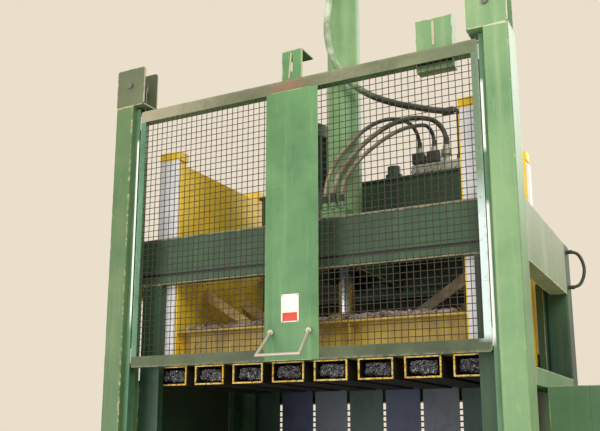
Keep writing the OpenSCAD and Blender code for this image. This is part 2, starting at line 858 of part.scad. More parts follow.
// A swing bar on the right post, hanging down when it is open
module door_latch() {
    pivot_x = inner_x + post_w / 2;
    color(yellow) {
        translate([pivot_x, front_y, latch_z]) rotate([90, 0, 0]) cylinder(d = 44, h = front_y - latch_y + 8);
        slab(pivot_x - 15, pivot_x + 15, latch_y, latch_y + latch_t, latch_z - latch_len, latch_z);
        translate([pivot_x, latch_y + 1, latch_z - latch_len + 15]) rotate([90, 0, 0]) cylinder(d = 24, h = 60);
    }
}

// Power pack

module oil_tank() {
    color(paint) difference() {
        union() {
            translate([tank_x + tank_w / 2, tank_y + tank_d / 2, beam_top]) linear_extrude(tank_h - 8)
                round_rect(tank_w, tank_d, 12);
            slab(tank_x - 8, tank_x + tank_w + 8, tank_y - 8, tank_y + tank_d + 8, tank_top - 8, tank_top);
            translate([filler_x, valve_y - 10, tank_top]) {
                cylinder(d = filler_d, h = 50);
                cylinder(d = filler_d - 20, h = 90);
            }
        }
        translate([tank_x + tank_w / 2, tank_y + tank_d / 2, beam_top + 4]) linear_extrude(tank_h - 20)
            round_rect(tank_w - 8, tank_d - 8, 8);
    }
}

module motor() {
    fins = 24;
    color(paint) translate([motor_x, motor_y, tank_top]) {
        cylinder(d = motor_d * 0.9, h = 14);
        translate([0, 0, 14]) linear_extrude(motor_h - 90) union() {
            circle(d = motor_d - 36);
            for (a = [0 : 360 / fins : 359]) rotate(a) translate([motor_d / 2 - 22, -2]) square([20, 4]);
        }
        translate([0, 0, motor_h - 76]) cylinder(d = motor_d, h = 60);
        translate([0, 0, motor_h - 16]) cylinder(d1 = motor_d, d2 = motor_d - 50, h = 16, $fn = 64);
        translate([-60, -motor_d / 2 - 30, 90]) cube([120, 60, 90]);
    }
}

// Manifold with two valves, a hose port, the pressure pipe and its elbow
module valve_block() {
    color(steel) {
        translate([0, 0, tank_top]) {
            slab(valve_x[0] - 25, pipe_x + pipe_d + 4, valve_y - 50, valve_y + 50, 0, valve_base_h);
            for (x = valve_x) translate([x, valve_y, valve_base_h]) {
                cylinder(d = valve_d, h = 70);
                cylinder(d = valve_d - 16, h = 92);
            }
            translate([port_x, valve_y - 10, valve_base_h]) {
                cylinder(d = 34, h = 86);
                translate([0, 0, 40]) cylinder(d = 50, h = 26);
            }
            translate([pipe_x, pipe_y, valve_base_h]) cylinder(d = pipe_d + 16, h = 24);
            translate([pipe_x, pipe_y, valve_base_h]) cylinder(d = pipe_d, h = pipe_top - tank_top - pipe_bend - valve_base_h);
        }
        translate([pipe_x - pipe_bend, pipe_y, pipe_top - pipe_bend]) rotate([90, 0, 0])
            rotate_extrude(angle = 90) translate([pipe_bend, 0]) circle(d = pipe_d);
    }
}

// Hoses

// Sweeps a round section along a smooth curve through the points
function hermite(a, b, ta, tb, u) =
    (2 * pow(u, 3) - 3 * pow(u, 2) + 1) * a + (pow(u, 3) - 2 * pow(u, 2) + u) * ta
    + (3 * pow(u, 2) - 2 * pow(u, 3)) * b + (pow(u, 3) - pow(u, 2)) * tb;
function slope_at(p, i) =
    (p[min(i + 1, len(p) - 1)] - p[max(i - 1, 0)]) * (i == 0 || i == len(p) - 1 ? 1 : 0.5);
function smooth(p, n) = [
    for (i = [0 : len(p) - 2], k = [0 : n - 1]) hermite(p[i], p[i + 1], slope_at(p, i), slope_at(p, i + 1), k / n),
    p[len(p) - 1]
];
function unit(v) = v / norm(v);
function forward(c, i) = unit(c[min(i + 1, len(c) - 1)] - c[max(i - 1, 0)]);
function side_of(t) = unit(cross(t, abs(t[1]) < 0.9 ? [0, 1, 0] : [1, 0, 0]));

module hose(points, d, n, sides) {
    c = smooth(points, n);
    rings = len(c);
    tail = len(points) - 1;
    start = unit(points[1] - points[0]);
    end = unit(points[tail] - points[tail - 1]);
    ring_points = [
        for (i = [0 : rings - 1])
            let (t = i == 0 ? start : i == rings - 1 ? end : forward(c, i), u = side_of(t), v = cross(t, u))
                for (k = [0 : sides - 1]) c[i] + d / 2 * (cos(360 * k / sides) * u + sin(360 * k / sides) * v)
    ];
    walls = [
        for (i = [0 : rings - 2], k = [0 : sides - 1]) let (a = i * sides + k, b = i * sides + (k + 1) % sides)
            [a, a + sides, b + sides, b]
    ];
    first = [for (k = [0 : sides - 1]) k];
    last = [for (k = [0 : sides - 1]) rings * sides - 1 - k];
    polyhedron(ring_points, concat(walls, [first, last]));
}

module main_hose() {
    color(rubber) hose(main_hose_route, 30, 3, 10);
}

module lower_hoses() {
    color(rubber) for (i = [0 : 2]) hose(lower_hose_routes[i], lower_hose_d[i], 2, 8);
}

module rear_hose() {
    color(rubber) hose(rear_hose_route, rear_hose_d, 3, 8);
}

// Control cabinet on the right side wall

module control_cabinet() {
    wall = 3;
    color(paint) {
        difference() {
            slab(cabinet_x, cabinet_x + cabinet_d, cabinet_y, cabinet_y + cabinet_w, cabinet_z, cabinet_z + cabinet_h);
            slab(cabinet_x + wall, cabinet_x + cabinet_d + 1, cabinet_y + wall, cabinet_y + cabinet_w - wall,
                cabinet_z + wall, cabinet_z + cabinet_h - wall);
        }
        for (z = lid_pin_z)
            translate([lid_x, lid_pin_y, z]) {
                cylinder(d = lid_pin_d, h = 60);
                cylinder(d = lid_pin_d + 6, h = 14);
                translate([-12, -lid_pin_gap, 0]) cube([12, lid_pin_gap, 14]);
            }
    }
    color(steel) slab(cabinet_x + 3, cabinet_x + 40, cabinet_y + 60, cabinet_y + cabinet_w - 60,
        cabinet_z + 90, cabinet_z + cabinet_h - 90);
}

module cabinet_door() {
    wall = 2;
    color(paint) difference() {
        union() {
            slab(lid_x, lid_face, cabinet_y, cabinet_y + cabinet_w, cabinet_z, cabinet_z + cabinet_h);
            for (z = lid_pin_z) translate([lid_x, lid_pin_y, z + 15]) {
                cylinder(d = lid_pin_d + 6, h = 45);
                translate([0, -lid_pin_gap - 1, 0]) cube([(lid_pin_d + 6) / 2, lid_pin_gap + 1, 45]);
            }
        }
        for (z = lid_pin_z) translate([lid_x, lid_pin_y, z]) cylinder(d = lid_pin_d + 2 * run_fit, h = 70);
        slab(lid_x - 1, lid_face - wall, cabinet_y + wall, cabinet_y + cabinet_w - wall,
            cabinet_z + wall, cabinet_z + cabinet_h - wall);
        for (z = [start_z, stop_z]) translate([lid_x, button_y, z]) rotate([0, 90, 0])
            cylinder(d = button_d + 1, h = lid_d + 2);
        translate([lid_x, switch_y, switch_z]) rotate([0, 90, 0]) cylinder(d = 15, h = lid_d + 2);
    }
}

module main_switch() {
    color("#777b7c") translate([lid_face, switch_y, switch_z]) rotate([0, 90, 0]) {
        translate([0, 0, lid_clear]) cylinder(d = 58, h = 12);
        translate([-24, -7, 12]) cube([48, 14, 20]);
        translate([0, 0, -20]) cylinder(d = 14, h = 21);
    }
}

module push_button(z, cap, tint) {
    color(tint) translate([lid_face, button_y, z]) rotate([0, 90, 0]) {
        translate([0, 0, -16]) cylinder(d = button_d, h = 26);
        translate([0, 0, 10]) cylinder(d = cap, h = 10);
    }
}

module start_button() { push_button(start_z, 26, "#3f9a4a"); }
module stop_button() { push_button(stop_z, 42, "#c23327"); }

base_skids();
base_cross_members();
floor_plate();
floor_channels();
front_post_left();
front_post_right();
rear_post_left();
rear_post_right();
front_jambs();
rear_jambs();
side_wall_left();
side_wall_right();
side_beam_left();
side_beam_right();
front_beam();
rear_beam();
rear_panels();
rear_ribs();
cylinder_bearers();
cylinder_barrel();
cylinder_gland();
piston_rod();
platen_channels();
platen_deck();
platen_braces();
platen_side_left();
platen_side_right();
guide_pads();
gate_frame();
gate_mesh_left();
gate_mesh_right();
gate_panel();
gate_handle();
gate_shoes();
gate_rails();
sheave_bracket_left();
sheave_bracket_right();
sheave_left();
sheave_right();
sheave_bolts();
counterweight_left();
counterweight_right();
gate_ropes();
top_tie();
latch_bracket();
switch_box();
bale_door();
door_hinges();
door_latch();
control_cabinet();
cabinet_door();
main_switch();
start_button();
stop_button();
oil_tank();
motor();
valve_block();
main_hose();
lower_hoses();
rear_hose();
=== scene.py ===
import math
import random

import bmesh
import bpy
from mathutils import Euler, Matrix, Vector, noise


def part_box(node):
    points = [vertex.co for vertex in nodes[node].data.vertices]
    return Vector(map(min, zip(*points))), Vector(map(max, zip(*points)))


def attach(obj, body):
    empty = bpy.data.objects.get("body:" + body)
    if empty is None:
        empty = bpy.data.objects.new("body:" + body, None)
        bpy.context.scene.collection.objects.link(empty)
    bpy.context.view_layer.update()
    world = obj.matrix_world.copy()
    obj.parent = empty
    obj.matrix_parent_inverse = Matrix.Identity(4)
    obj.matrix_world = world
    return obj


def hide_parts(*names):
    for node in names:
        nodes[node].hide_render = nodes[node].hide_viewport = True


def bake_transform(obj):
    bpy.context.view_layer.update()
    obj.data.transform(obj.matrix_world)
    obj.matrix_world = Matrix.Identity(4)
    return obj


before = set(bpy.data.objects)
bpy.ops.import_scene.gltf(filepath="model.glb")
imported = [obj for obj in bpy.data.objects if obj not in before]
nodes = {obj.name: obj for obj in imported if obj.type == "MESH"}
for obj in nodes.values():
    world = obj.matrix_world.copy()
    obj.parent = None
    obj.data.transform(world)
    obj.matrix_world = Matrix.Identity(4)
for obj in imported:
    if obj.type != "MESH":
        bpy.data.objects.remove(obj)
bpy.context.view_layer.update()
ops = bpy.ops


# Shader maths as plain expressions

class Wire:
    def __init__(self, finish, socket):
        self.finish = finish
        self.socket = socket

    def math(self, operation, *others):
        return self.finish.node("ShaderNodeMath", {"operation": operation}, self, *others)

    def __add__(self, other):
        return self.math("ADD", other)

    def __sub__(self, other):
        return self.math("SUBTRACT", other)

    def __mul__(self, other):
        return self.math("MULTIPLY", other)

    def __truediv__(self, other):
        return self.math("DIVIDE", other)

    def __rsub__(self, other):
        return self.finish.node("ShaderNodeMath", {"operation": "SUBTRACT"}, other, self)

    __radd__ = __add__
    __rmul__ = __mul__

    def over(self, low, high):
        return self.finish.node("ShaderNodeMapRange", {"clamp": True}, self, low, high, 0.0, 1.0)


class Finish:
    def __init__(self, name):
        self.material = bpy.data.materials.new(name)
        self.material.use_nodes = True
        self.tree = self.material.node_tree
        self.shader = self.tree.nodes["Principled BSDF"]
        self.place = self.node("ShaderNodeTexCoord", {}, output="Object")

    def feed(self, made, pairs):
        for key, value in pairs:
            if isinstance(value, Wire):
                self.tree.links.new(value.socket, made.inputs[key])
            else:
                made.inputs[key].default_value = value

    def node(self, kind, settings, *values, output=0, **named):
        made = self.tree.nodes.new(kind)
        for key, value in settings.items():
            setattr(made, key, value)
        self.feed(made, enumerate(values))
        self.feed(made, [(key.replace("_", " "), value) for key, value in named.items()])
        return Wire(self, made.outputs[output])

    def stretched(self, x, y, z):
        return self.node("ShaderNodeMapping", {}, Vector=self.place, Scale=(x, y, z))

    def noise(self, scale, detail=4.0, rough=0.6, where=None, warp=0.0):
        return self.node("ShaderNodeTexNoise", {}, Vector=where or self.place, Scale=scale, Detail=detail,
                         Roughness=rough, Distortion=warp)

    def parts(self, vector):
        split = self.tree.nodes.new("ShaderNodeSeparateXYZ")
        self.tree.links.new(vector.socket, split.inputs[0])
        return [Wire(self, split.outputs[i]) for i in range(3)]

    def axes(self):
        return self.parts(self.place)

    def facing(self, axis):
        return self.parts(self.node("ShaderNodeNewGeometry", {}, output="Normal"))[axis]

    def upward(self):
        return self.facing(2)

    def blend(self, amount, first, second):
        made = self.tree.nodes.new("ShaderNodeMix")
        made.data_type = "RGBA"
        self.feed(made, ((0, amount), (6, first), (7, second)))
        return Wire(self, made.outputs[2])

    def bump(self, height, strength, distance=0.002):
        return self.node("ShaderNodeBump", {}, Strength=strength, Distance=distance, Height=height,
                         output="Normal")

    def done(self, **sockets):
        self.feed(self.shader, [(key.replace("_", " "), value) for key, value in sockets.items()])
        return self.material


def colour(r, g, b):
    return tuple(((c / 255 + 0.055) / 1.055) ** 2.4 if c > 10 else c / 3295 for c in (r, g, b)) + (1.0,)


# Distance from the box edges of a node: small where two of its faces meet
def edgeDistance(finish, low, high):
    gaps = [(axis - low[i]).math("MINIMUM", high[i] - axis) for i, axis in enumerate(finish.axes())]
    total = gaps[0] + gaps[1] + gaps[2]
    return total - gaps[0].math("MAXIMUM", gaps[1]).math("MAXIMUM", gaps[2])


# Shades of each paint from 0 to 255: bare, sun-bleached, stained, edge (rubbed wear with painted highlight),
# chipped and dusty
enamel = {
    "green": dict(
        base=(96, 142, 92), pale=(140, 168, 118), dark=(66, 112, 72), edge=(176, 178, 146),
        worn=(92, 84, 62), dust=(160, 154, 130)),
    "postGreen": dict(
        base=(100, 126, 80), pale=(138, 144, 106), dark=(70, 104, 66), edge=(180, 176, 142),
        worn=(100, 90, 66), dust=(166, 158, 132)),
    "lightGreen": dict(
        base=(126, 160, 114), pale=(172, 186, 144), dark=(92, 134, 92), edge=(200, 202, 172),
        worn=(118, 106, 82), dust=(180, 172, 148)),
    "barrelGreen": dict(
        base=(128, 166, 114), pale=(162, 190, 142), dark=(96, 138, 94), edge=(190, 196, 166),
        worn=(120, 110, 84), dust=(176, 170, 146)),
    "dustyGreen": dict(
        base=(150, 162, 134), pale=(204, 198, 178), dark=(116, 140, 110), edge=(216, 210, 190),
        worn=(120, 100, 80), dust=(208, 200, 182)),
    "darkGreen": dict(
        base=(46, 84, 58), pale=(78, 112, 80), dark=(24, 48, 36), edge=(140, 140, 112),
        worn=(84, 72, 56), dust=(118, 108, 90)),
    "beamGreen": dict(
        base=(60, 92, 64), pale=(92, 118, 88), dark=(38, 64, 46), edge=(150, 144, 118),
        worn=(96, 78, 64), dust=(128, 110, 94)),
    "cabinetGreen": dict(
        base=(84, 124, 84), pale=(112, 144, 104), dark=(62, 100, 68), edge=(168, 172, 144),
        worn=(92, 84, 62), dust=(150, 146, 124)),
    "oliveGreen": dict(
        base=(104, 114, 84), pale=(136, 142, 110), dark=(78, 88, 66), edge=(180, 174, 144),
        worn=(110, 88, 66), dust=(156, 150, 126)),
    "yellow": dict(
        base=(255, 220, 58), pale=(255, 232, 100), dark=(232, 188, 40), edge=(255, 240, 170),
        worn=(96, 80, 48), dust=(140, 126, 96)),
    # The deck's yellow is darkened by grime and by painted shade of its recessed face
    "grimeAndShadeYellow": dict(
        base=(196, 168, 64), pale=(226, 198, 92), dark=(112, 94, 50), edge=(226, 208, 140),
        worn=(52, 46, 36), dust=(128, 116, 98)),
}
wearLevel = {"edge": 0.007, "chips": 0.66, "streaks": 0.34, "dust": 0.55}
grooveBand = {"front_beam": (0.035, 0.048), "rear_beam": (0.035, 0.048)}  # heights over the beam's foot
# Near-black painted shade for the groove along each beam's face
grooveShadowColour, grooveBlur = colour(14, 20, 16), 0.003
shadedInside = {"side_wall_left": 0.777, "side_wall_right": 0.777}  # the chamber's side of this distance
insideShade, insideBlur = colour(14, 24, 18), 0.0015


# Old enamel: clouded colour, runs down the upright faces, pale edges of rubbed wear with painted highlight,
# and dust on top
def paintFor(name, tint, low, high, edge=1.0, dust=1.0, stain=1.0):
    look = {part: colour(*shade) for part, shade in enamel[tint].items()}
    finish = Finish(name + "Paint")
    clouds = finish.noise(2.6, 5.0, 0.62, warp=0.4)
    runs = finish.noise(1.0, 5.0, 0.7, finish.stretched(26, 26, 1.1))
    specks = finish.noise(95.0, 3.0, 0.6)
    chips = finish.noise(24.0, 6.0, 0.68, warp=0.6)
    skin = finish.blend(clouds.over(0.34, 0.66), look["dark"], look["base"])
    skin = finish.blend(runs.over(0.52, 0.78) * wearLevel["streaks"] * stain, skin, look["pale"])
    skin = finish.blend((1 - runs).over(0.56, 0.80) * wearLevel["streaks"] * stain, skin, look["dark"])
    nearEdge = 1 - edgeDistance(finish, low, high).over(0.0005, wearLevel["edge"] * edge)
    edgeWearAndHighlight = (nearEdge * 0.42 + chips).over(0.72, 0.84)
    # Pale edges: rubbed wear with a painted highlight along them
    skin = finish.blend(edgeWearAndHighlight * 0.8, skin, look["edge"])
    spots = chips.over(wearLevel["chips"], wearLevel["chips"] + 0.06)
    skin = finish.blend(spots * 0.8, skin, look["worn"])
    # The beams' groove band is darkened with painted shade
    if name in grooveBand:
        start, end = grooveBand[name]
        height = finish.axes()[2] - low.z
        grooveShadow = height.over(start, start + grooveBlur) * (1 - height.over(end - grooveBlur, end))
        skin = finish.blend(grooveShadow, skin, grooveShadowColour)
    if name in shadedInside:
        limit = shadedInside[name]
        inner = 1 - finish.axes()[0].math("ABSOLUTE").over(limit - insideBlur, limit)
        skin = finish.blend(inner * 0.85, skin, insideShade)
    scratches = finish.noise(1.0, 3.0, 0.5, finish.stretched(160, 160, 9)).over(0.66, 0.72)
    skin = finish.blend(scratches * 0.25, skin, look["pale"])
    dusty = finish.upward().over(0.25, 0.9) * (clouds * 0.6 + specks * 0.5).over(0.3, 0.62)
    skin = finish.blend(dusty * wearLevel["dust"] * dust, skin, look["dust"])
    skin = finish.blend(specks.over(0.62, 0.74) * 0.2, skin, look["dark"])
    rough = 0.46 + clouds * 0.12 + edgeWearAndHighlight * 0.2 + dusty * 0.25
    height = clouds * 0.25 + specks * 0.12 - edgeWearAndHighlight * 0.4
    return finish.done(Base_Color=skin, Roughness=rough, Normal=finish.bump(height, 0.35, 0.0015))


# Dull steel with brown bloom and handling marks
def steelFor(name, base, bloom, amount=0.5, metal=0.75, rough=0.42):
    finish = Finish(name)
    clouds = finish.noise(9.0, 6.0, 0.65, warp=0.5)
    grain = finish.noise(150.0, 2.0, 0.6)
    bloomed = clouds.over(0.42, 0.66) * amount
    skin = finish.blend(bloomed, base, bloom)
    skin = finish.blend(grain.over(0.55, 0.8) * 0.3, skin, bloom)
    return finish.done(Base_Color=skin, Roughness=rough + clouds * 0.2 + grain * 0.08,
                       Metallic=metal - bloomed * metal, Normal=finish.bump(grain, 0.2, 0.0008))


def nylonLook():
    finish = Finish("nylonStrip")
    clouds = finish.noise(5.0, 4.0, 0.6)
    rubs = finish.noise(1.0, 4.0, 0.6, finish.stretched(60, 60, 2.0))
    skin = finish.blend(clouds.over(0.4, 0.7), colour(240, 242, 250), colour(222, 225, 234))
    skin = finish.blend(rubs.over(0.58, 0.74) * 0.4, skin, colour(168, 168, 166))
    return finish.done(Base_Color=skin, Roughness=0.44 + rubs * 0.2, Normal=finish.bump(rubs, 0.12, 0.001))


# Rubber whose colour changes along one axis, from near to far: bare colour and dust, and on the main hose's
# pale near end also painted highlight
def rubberLook(name, near, far, axis, start, end):
    finish = Finish(name)
    ply = finish.noise(220.0, 2.0, 0.5)
    clouds = finish.noise(14.0, 5.0, 0.6)
    along = finish.axes()[axis].over(start, end)
    film = (clouds + finish.upward() * 0.22).over(0.42, 0.66)
    skin = finish.blend(film, finish.blend(along, near[0], far[0]), finish.blend(along, near[1], far[1]))
    return finish.done(Base_Color=skin, Roughness=0.5 + film * 0.35, Normal=finish.bump(ply, 0.3, 0.0006))


def filmLook():
    finish = Finish("blackFilm")
    folds = finish.noise(60.0, 4.0, 0.6, warp=1.5)
    glints = finish.noise(150.0, 3.0, 0.6, warp=2.0)
    skin = finish.blend(folds.over(0.46, 0.70), colour(12, 13, 16), colour(78, 80, 88))
    skin = finish.blend(glints.over(0.60, 0.65), skin, colour(214, 218, 226))
    return finish.done(Base_Color=skin, Roughness=0.16 + folds * 0.2, Normal=finish.bump(folds, 0.8, 0.005))


def litterLook():
    finish = Finish("pressLitter")
    bits = finish.noise(70.0, 5.0, 0.7, warp=1.0)
    flakes = finish.noise(28.0, 3.0, 0.6)
    skin = finish.blend(bits.over(0.42, 0.6), colour(96, 84, 74), colour(164, 148, 136))
    skin = finish.blend(flakes.over(0.6, 0.68) * 0.7, skin, colour(204, 198, 190))
    return finish.done(Base_Color=skin, Roughness=0.85 + bits * 0.1, Normal=finish.bump(bits, 0.8, 0.006))


# The strap channels show yellow paint on their front rims; behind the rims they are painted dark as shade
# inside the hollows
def channelLook(low):
    finish = Finish("channelRimPaint")
    clouds = finish.noise(14.0, 5.0, 0.62)
    fine = finish.noise(80.0, 4.0, 0.65)
    rim = finish.blend(clouds.over(0.4, 0.62), colour(226, 182, 48), colour(238, 216, 132))
    rim = finish.blend(fine.over(0.48, 0.60) * 0.8, rim, colour(62, 54, 40))
    # Painted shade for the inside of the channels
    channelShadow = finish.blend(clouds.over(0.35, 0.65), colour(16, 16, 14), colour(44, 38, 28))
    behind = finish.axes()[1].over(low.y + 0.003, low.y + 0.006)
    return finish.done(Base_Color=finish.blend(behind, rim, channelShadow), Roughness=0.55 + fine * 0.25,
                       Normal=finish.bump(fine, 0.4, 0.001))


# The braces are ochre with painted light on the left and dusty brown on the right
def braceLook():
    finish = Finish("bracePaint")
    clouds = finish.noise(9.0, 5.0, 0.62)
    fine = finish.noise(70.0, 4.0, 0.65)
    # The lit colour is painted light on the left braces
    lit = finish.blend(clouds.over(0.36, 0.64), colour(150, 118, 48), colour(206, 180, 112))
    dusty = finish.blend(clouds.over(0.36, 0.64), colour(92, 80, 62), colour(146, 134, 108))
    skin = finish.blend(finish.axes()[0].over(-0.02, 0.02), lit, dusty)
    skin = finish.blend(fine.over(0.6, 0.72) * 0.5, skin, colour(74, 62, 44))
    return finish.done(Base_Color=skin, Roughness=0.6 + fine * 0.2, Normal=finish.bump(fine, 0.3, 0.001))


panelPitch = 0.183  # from one slot of the rear wall to the next


# Rear panels in three colours, one after the other across the wall: teal paint, then blue and grey-blue
# painted reflections on worn steel
def rearPanelLook():
    finish = Finish("rearPanel")
    clouds = finish.noise(12.0, 5.0, 0.65)
    panel = (finish.axes()[0] / panelPitch + 4.0).math("FLOOR").math("MODULO", 3.0)
    # The second and third panels take blue and grey-blue painted reflections
    skin = finish.blend(panel.over(0.4, 0.6), colour(36, 66, 58), colour(48, 60, 92))
    skin = finish.blend(panel.over(1.4, 1.6), skin, colour(84, 94, 108))
    skin = finish.blend(clouds.over(0.5, 0.72) * 0.5, skin, colour(24, 28, 30))
    return finish.done(Base_Color=skin, Roughness=0.5 + clouds * 0.12,
                       Normal=finish.bump(clouds, 0.15, 0.001))


# Silver manifold and valves, with a dark pipe
def manifoldLook():
    finish = Finish("manifoldMetal")
    x, _, z = finish.axes()
    clouds = finish.noise(9.0, 6.0, 0.65, warp=0.5)
    pipe = x.over(0.452, 0.456) * z.over(2.796, 2.80)  # right of the valves and above their block
    metal = finish.blend(clouds.over(0.42, 0.66), colour(172, 176, 166), colour(112, 116, 98))
    dark = finish.blend(clouds.over(0.42, 0.66), colour(34, 42, 34), colour(70, 74, 60))
    return finish.done(Base_Color=finish.blend(pipe, metal, dark), Roughness=0.38 + clouds * 0.2,
                       Metallic=0.6 - pipe * 0.5, Normal=finish.bump(clouds, 0.2, 0.001))


def plainLook(name, base, mark, rough):
    finish = Finish(name)
    clouds = finish.noise(16.0, 5.0, 0.65)
    fine = finish.noise(240.0, 2.0, 0.5)
    skin = finish.blend(clouds.over(0.5, 0.72) * 0.5, base, mark)
    return finish.done(Base_Color=skin, Roughness=rough + clouds * 0.12,
                       Normal=finish.bump(fine, 0.12, 0.0005))


# Which paint each node of the frame wears, with its edge wear and painted edge highlight, dust and stains
paintPlan = {
    "base_skids": ("green", 1.0, 1.0, 1.0), "base_cross_members": ("darkGreen", 1.0, 0.6, 1.0),
    "floor_plate": ("darkGreen", 1.0, 1.3, 1.0), "front_post_left": ("postGreen", 1.6, 0.6, 1.3),
    "front_post_right": ("lightGreen", 1.0, 0.6, 1.3), "rear_post_left": ("green", 1.0, 0.6, 1.0),
    # rear_post_right wears darkGreen as painted shade, deep in the right opening
    "rear_post_right": ("darkGreen", 1.0, 0.6, 1.0), "front_jambs": ("darkGreen", 1.0, 0.6, 1.0),
    "rear_jambs": ("darkGreen", 1.0, 0.6, 1.0), "side_wall_left": ("green", 1.0, 1.0, 1.0),
    "side_wall_right": ("green", 1.0, 1.0, 1.0), "side_beam_left": ("green", 1.0, 1.0, 1.0),
    "side_beam_right": ("dustyGreen", 1.0, 1.4, 1.4), "front_beam": ("beamGreen", 2.0, 1.5, 1.2),
    "rear_beam": ("darkGreen", 1.0, 1.2, 1.0), "rear_ribs": ("green", 1.0, 1.0, 1.0),
    "cylinder_bearers": ("darkGreen", 1.0, 1.4, 1.0), "cylinder_barrel": ("barrelGreen", 0.2, 0.5, 1.0),
    "gate_panel": ("green", 0.8, 0.4, 1.3), "sheave_bracket_left": ("oliveGreen", 1.0, 1.0, 0.8),
    "sheave_bracket_right": ("lightGreen", 1.0, 1.0, 0.8), "top_tie": ("green", 1.0, 0.8, 1.0),
    "latch_bracket": ("green", 1.2, 0.8, 1.2), "switch_box": ("lightGreen", 1.0, 0.8, 1.2),
    "bale_door": ("green", 1.2, 1.0, 1.2), "control_cabinet": ("cabinetGreen", 0.6, 0.8, 0.6),
    "cabinet_door": ("cabinetGreen", 0.6, 0.8, 0.6), "oil_tank": ("darkGreen", 1.0, 1.5, 1.2),
    "motor": ("darkGreen", 0.3, 1.2, 0.8), "platen_deck": ("grimeAndShadeYellow", 1.2, 1.8, 2.0),
    "platen_side_left": ("yellow", 0.9, 0.8, 0.7), "platen_side_right": ("yellow", 0.9, 0.8, 0.7),
    "door_latch": ("yellow", 1.0, 0.6, 1.0),
}
knobs = {  # name of the look, bare and marked colour, roughness
    "main_switch": ("switchGrey", colour(112, 116, 118), colour(80, 82, 82), 0.4),
    "start_button": ("startGreen", colour(58, 150, 76), colour(44, 110, 60), 0.3),
    "stop_button": ("stopRed", colour(188, 44, 36), colour(140, 34, 30), 0.3),
}


def wearMaterial(piece, material):
    piece.data.materials.clear()
    piece.data.materials.append(material)


def dressNodes():
    for name, (tint, edge, dust, stain) in paintPlan.items():
        low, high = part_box(name)
        wearMaterial(nodes[name], paintFor(name, tint, low, high, edge, dust, stain))
    wearMaterial(nodes["platen_channels"], channelLook(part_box("platen_channels")[0]))
    wearMaterial(nodes["platen_braces"], braceLook())
    steel = steelFor("bareSteel", colour(124, 126, 122), colour(92, 78, 62))
    dark = steelFor("darkSteel", colour(70, 74, 70), colour(60, 52, 42), 0.6, 0.6, 0.5)
    bright = steelFor("fittingSteel", colour(170, 172, 168), colour(110, 102, 88), 0.35, 0.85, 0.34)
    for name in ("floor_channels", "cylinder_gland", "counterweight_left", "counterweight_right",
                 "door_hinges"):
        wearMaterial(nodes[name], dark)
    for name in ("sheave_left", "sheave_right", "sheave_bolts"):
        wearMaterial(nodes[name], steel)
    handle = steelFor("handleSteel", colour(190, 186, 172), colour(116, 104, 84), 0.4, 0.4, 0.36)
    wearMaterial(nodes["gate_handle"], handle)
    wearMaterial(nodes["valve_block"], manifoldLook())
    chrome = steelFor("rodChrome", colour(196, 198, 202), colour(120, 116, 104), 0.15, 1.0, 0.14)
    wearMaterial(nodes["piston_rod"], chrome)
    nylon = nylonLook()
    for name in ("guide_pads", "gate_shoes"):
        wearMaterial(nodes[name], nylon)
    wearMaterial(nodes["rear_panels"], rearPanelLook())
    for name, look in knobs.items():
        wearMaterial(nodes[name], plainLook(*look))
    return {"steel": steel, "dark": dark, "bright": bright}


# Camera, floor and light

view = {
    "place": (1.390, -3.117, 1.609), "yaw": 27.17, "pitch": 12.25, "focalPixels": 802.5, "imageWidth": 600,
    "shift": 0.07, "sensor": 36.0}


def setCamera():
    camera = bpy.data.cameras.new("photoCamera")
    camera.sensor_width = view["sensor"]
    camera.lens = view["sensor"] * view["focalPixels"] / view["imageWidth"]
    camera.shift_y = view["shift"]
    holder = bpy.data.objects.new("photoCamera", camera)
    holder.location = view["place"]
    holder.rotation_euler = (math.radians(90 + view["pitch"]), 0, math.radians(view["yaw"]))
    bpy.context.scene.collection.objects.link(holder)
    bpy.context.scene.camera = holder


room = {
    "floor": colour(214, 208, 198), "floorSize": 40, "haze": colour(196, 190, 180),
    "backdrop": colour(240, 228, 208), "backdropStrength": 0.95, "sky": 0.92, "aim": (0, 0, 1.8)}
lamps = {  # place, power in watts and size
    "keyLamp": ((3.2, -4.6, 5.2), 205.0, 3.0),
    "fillLamp": ((-2.4, -4.9, 1.7), 125.0, 3.0),
    "rimLamp": ((2.5, 3.8, 5.0), 130.0, 2.5)}


def roomLook(name, base):
    finish = Finish(name)
    haze = finish.noise(0.8, 3.0, 0.5)
    return finish.done(Base_Color=finish.blend(haze * 0.12, base, room["haze"]), Roughness=0.9)


def lampAt(name, place, power, size):
    lamp = bpy.data.lights.new(name, "AREA")
    lamp.energy = power
    lamp.size = size
    holder = bpy.data.objects.new(name, lamp)
    holder.location = place
    holder.rotation_euler = (Vector(room["aim"]) - Vector(place)).to_track_quat("-Z", "Y").to_euler()
    bpy.context.scene.collection.objects.link(holder)


def setRoom():
    ops.object.select_all(action="DESELECT")
    ops.mesh.primitive_plane_add(size=room["floorSize"], location=(0, 0, 0))
    floor = bpy.context.object
    floor.name = "studioFloor"
    wearMaterial(floor, roomLook("studioFloor", room["floor"]))
    world = bpy.data.worlds.new("studioSky")
    world.use_nodes = True
    back = world.node_tree.nodes["Background"]
    path = world.node_tree.nodes.new("ShaderNodeLightPath")
    both = world.node_tree.nodes.new("ShaderNodeMath")
    both.operation = "MAXIMUM"
    shown = world.node_tree.nodes.new("ShaderNodeMapRange")
    shown.inputs["To Min"].default_value = room["sky"]
    shown.inputs["To Max"].default_value = room["backdropStrength"]
    back.inputs["Color"].default_value = room["backdrop"]
    links = world.node_tree.links
    links.new(path.outputs["Is Camera Ray"], both.inputs[0])
    links.new(path.outputs["Is Glossy Ray"], both.inputs[1])
    links.new(both.outputs[0], shown.inputs["Value"])
    links.new(shown.outputs["Result"], back.inputs["Strength"])
    bpy.context.scene.world = world
    for name, (place, power, size) in lamps.items():
        lampAt(name, place, power, size)
    bpy.context.scene.view_settings.view_transform = "Standard"
    print("room set")


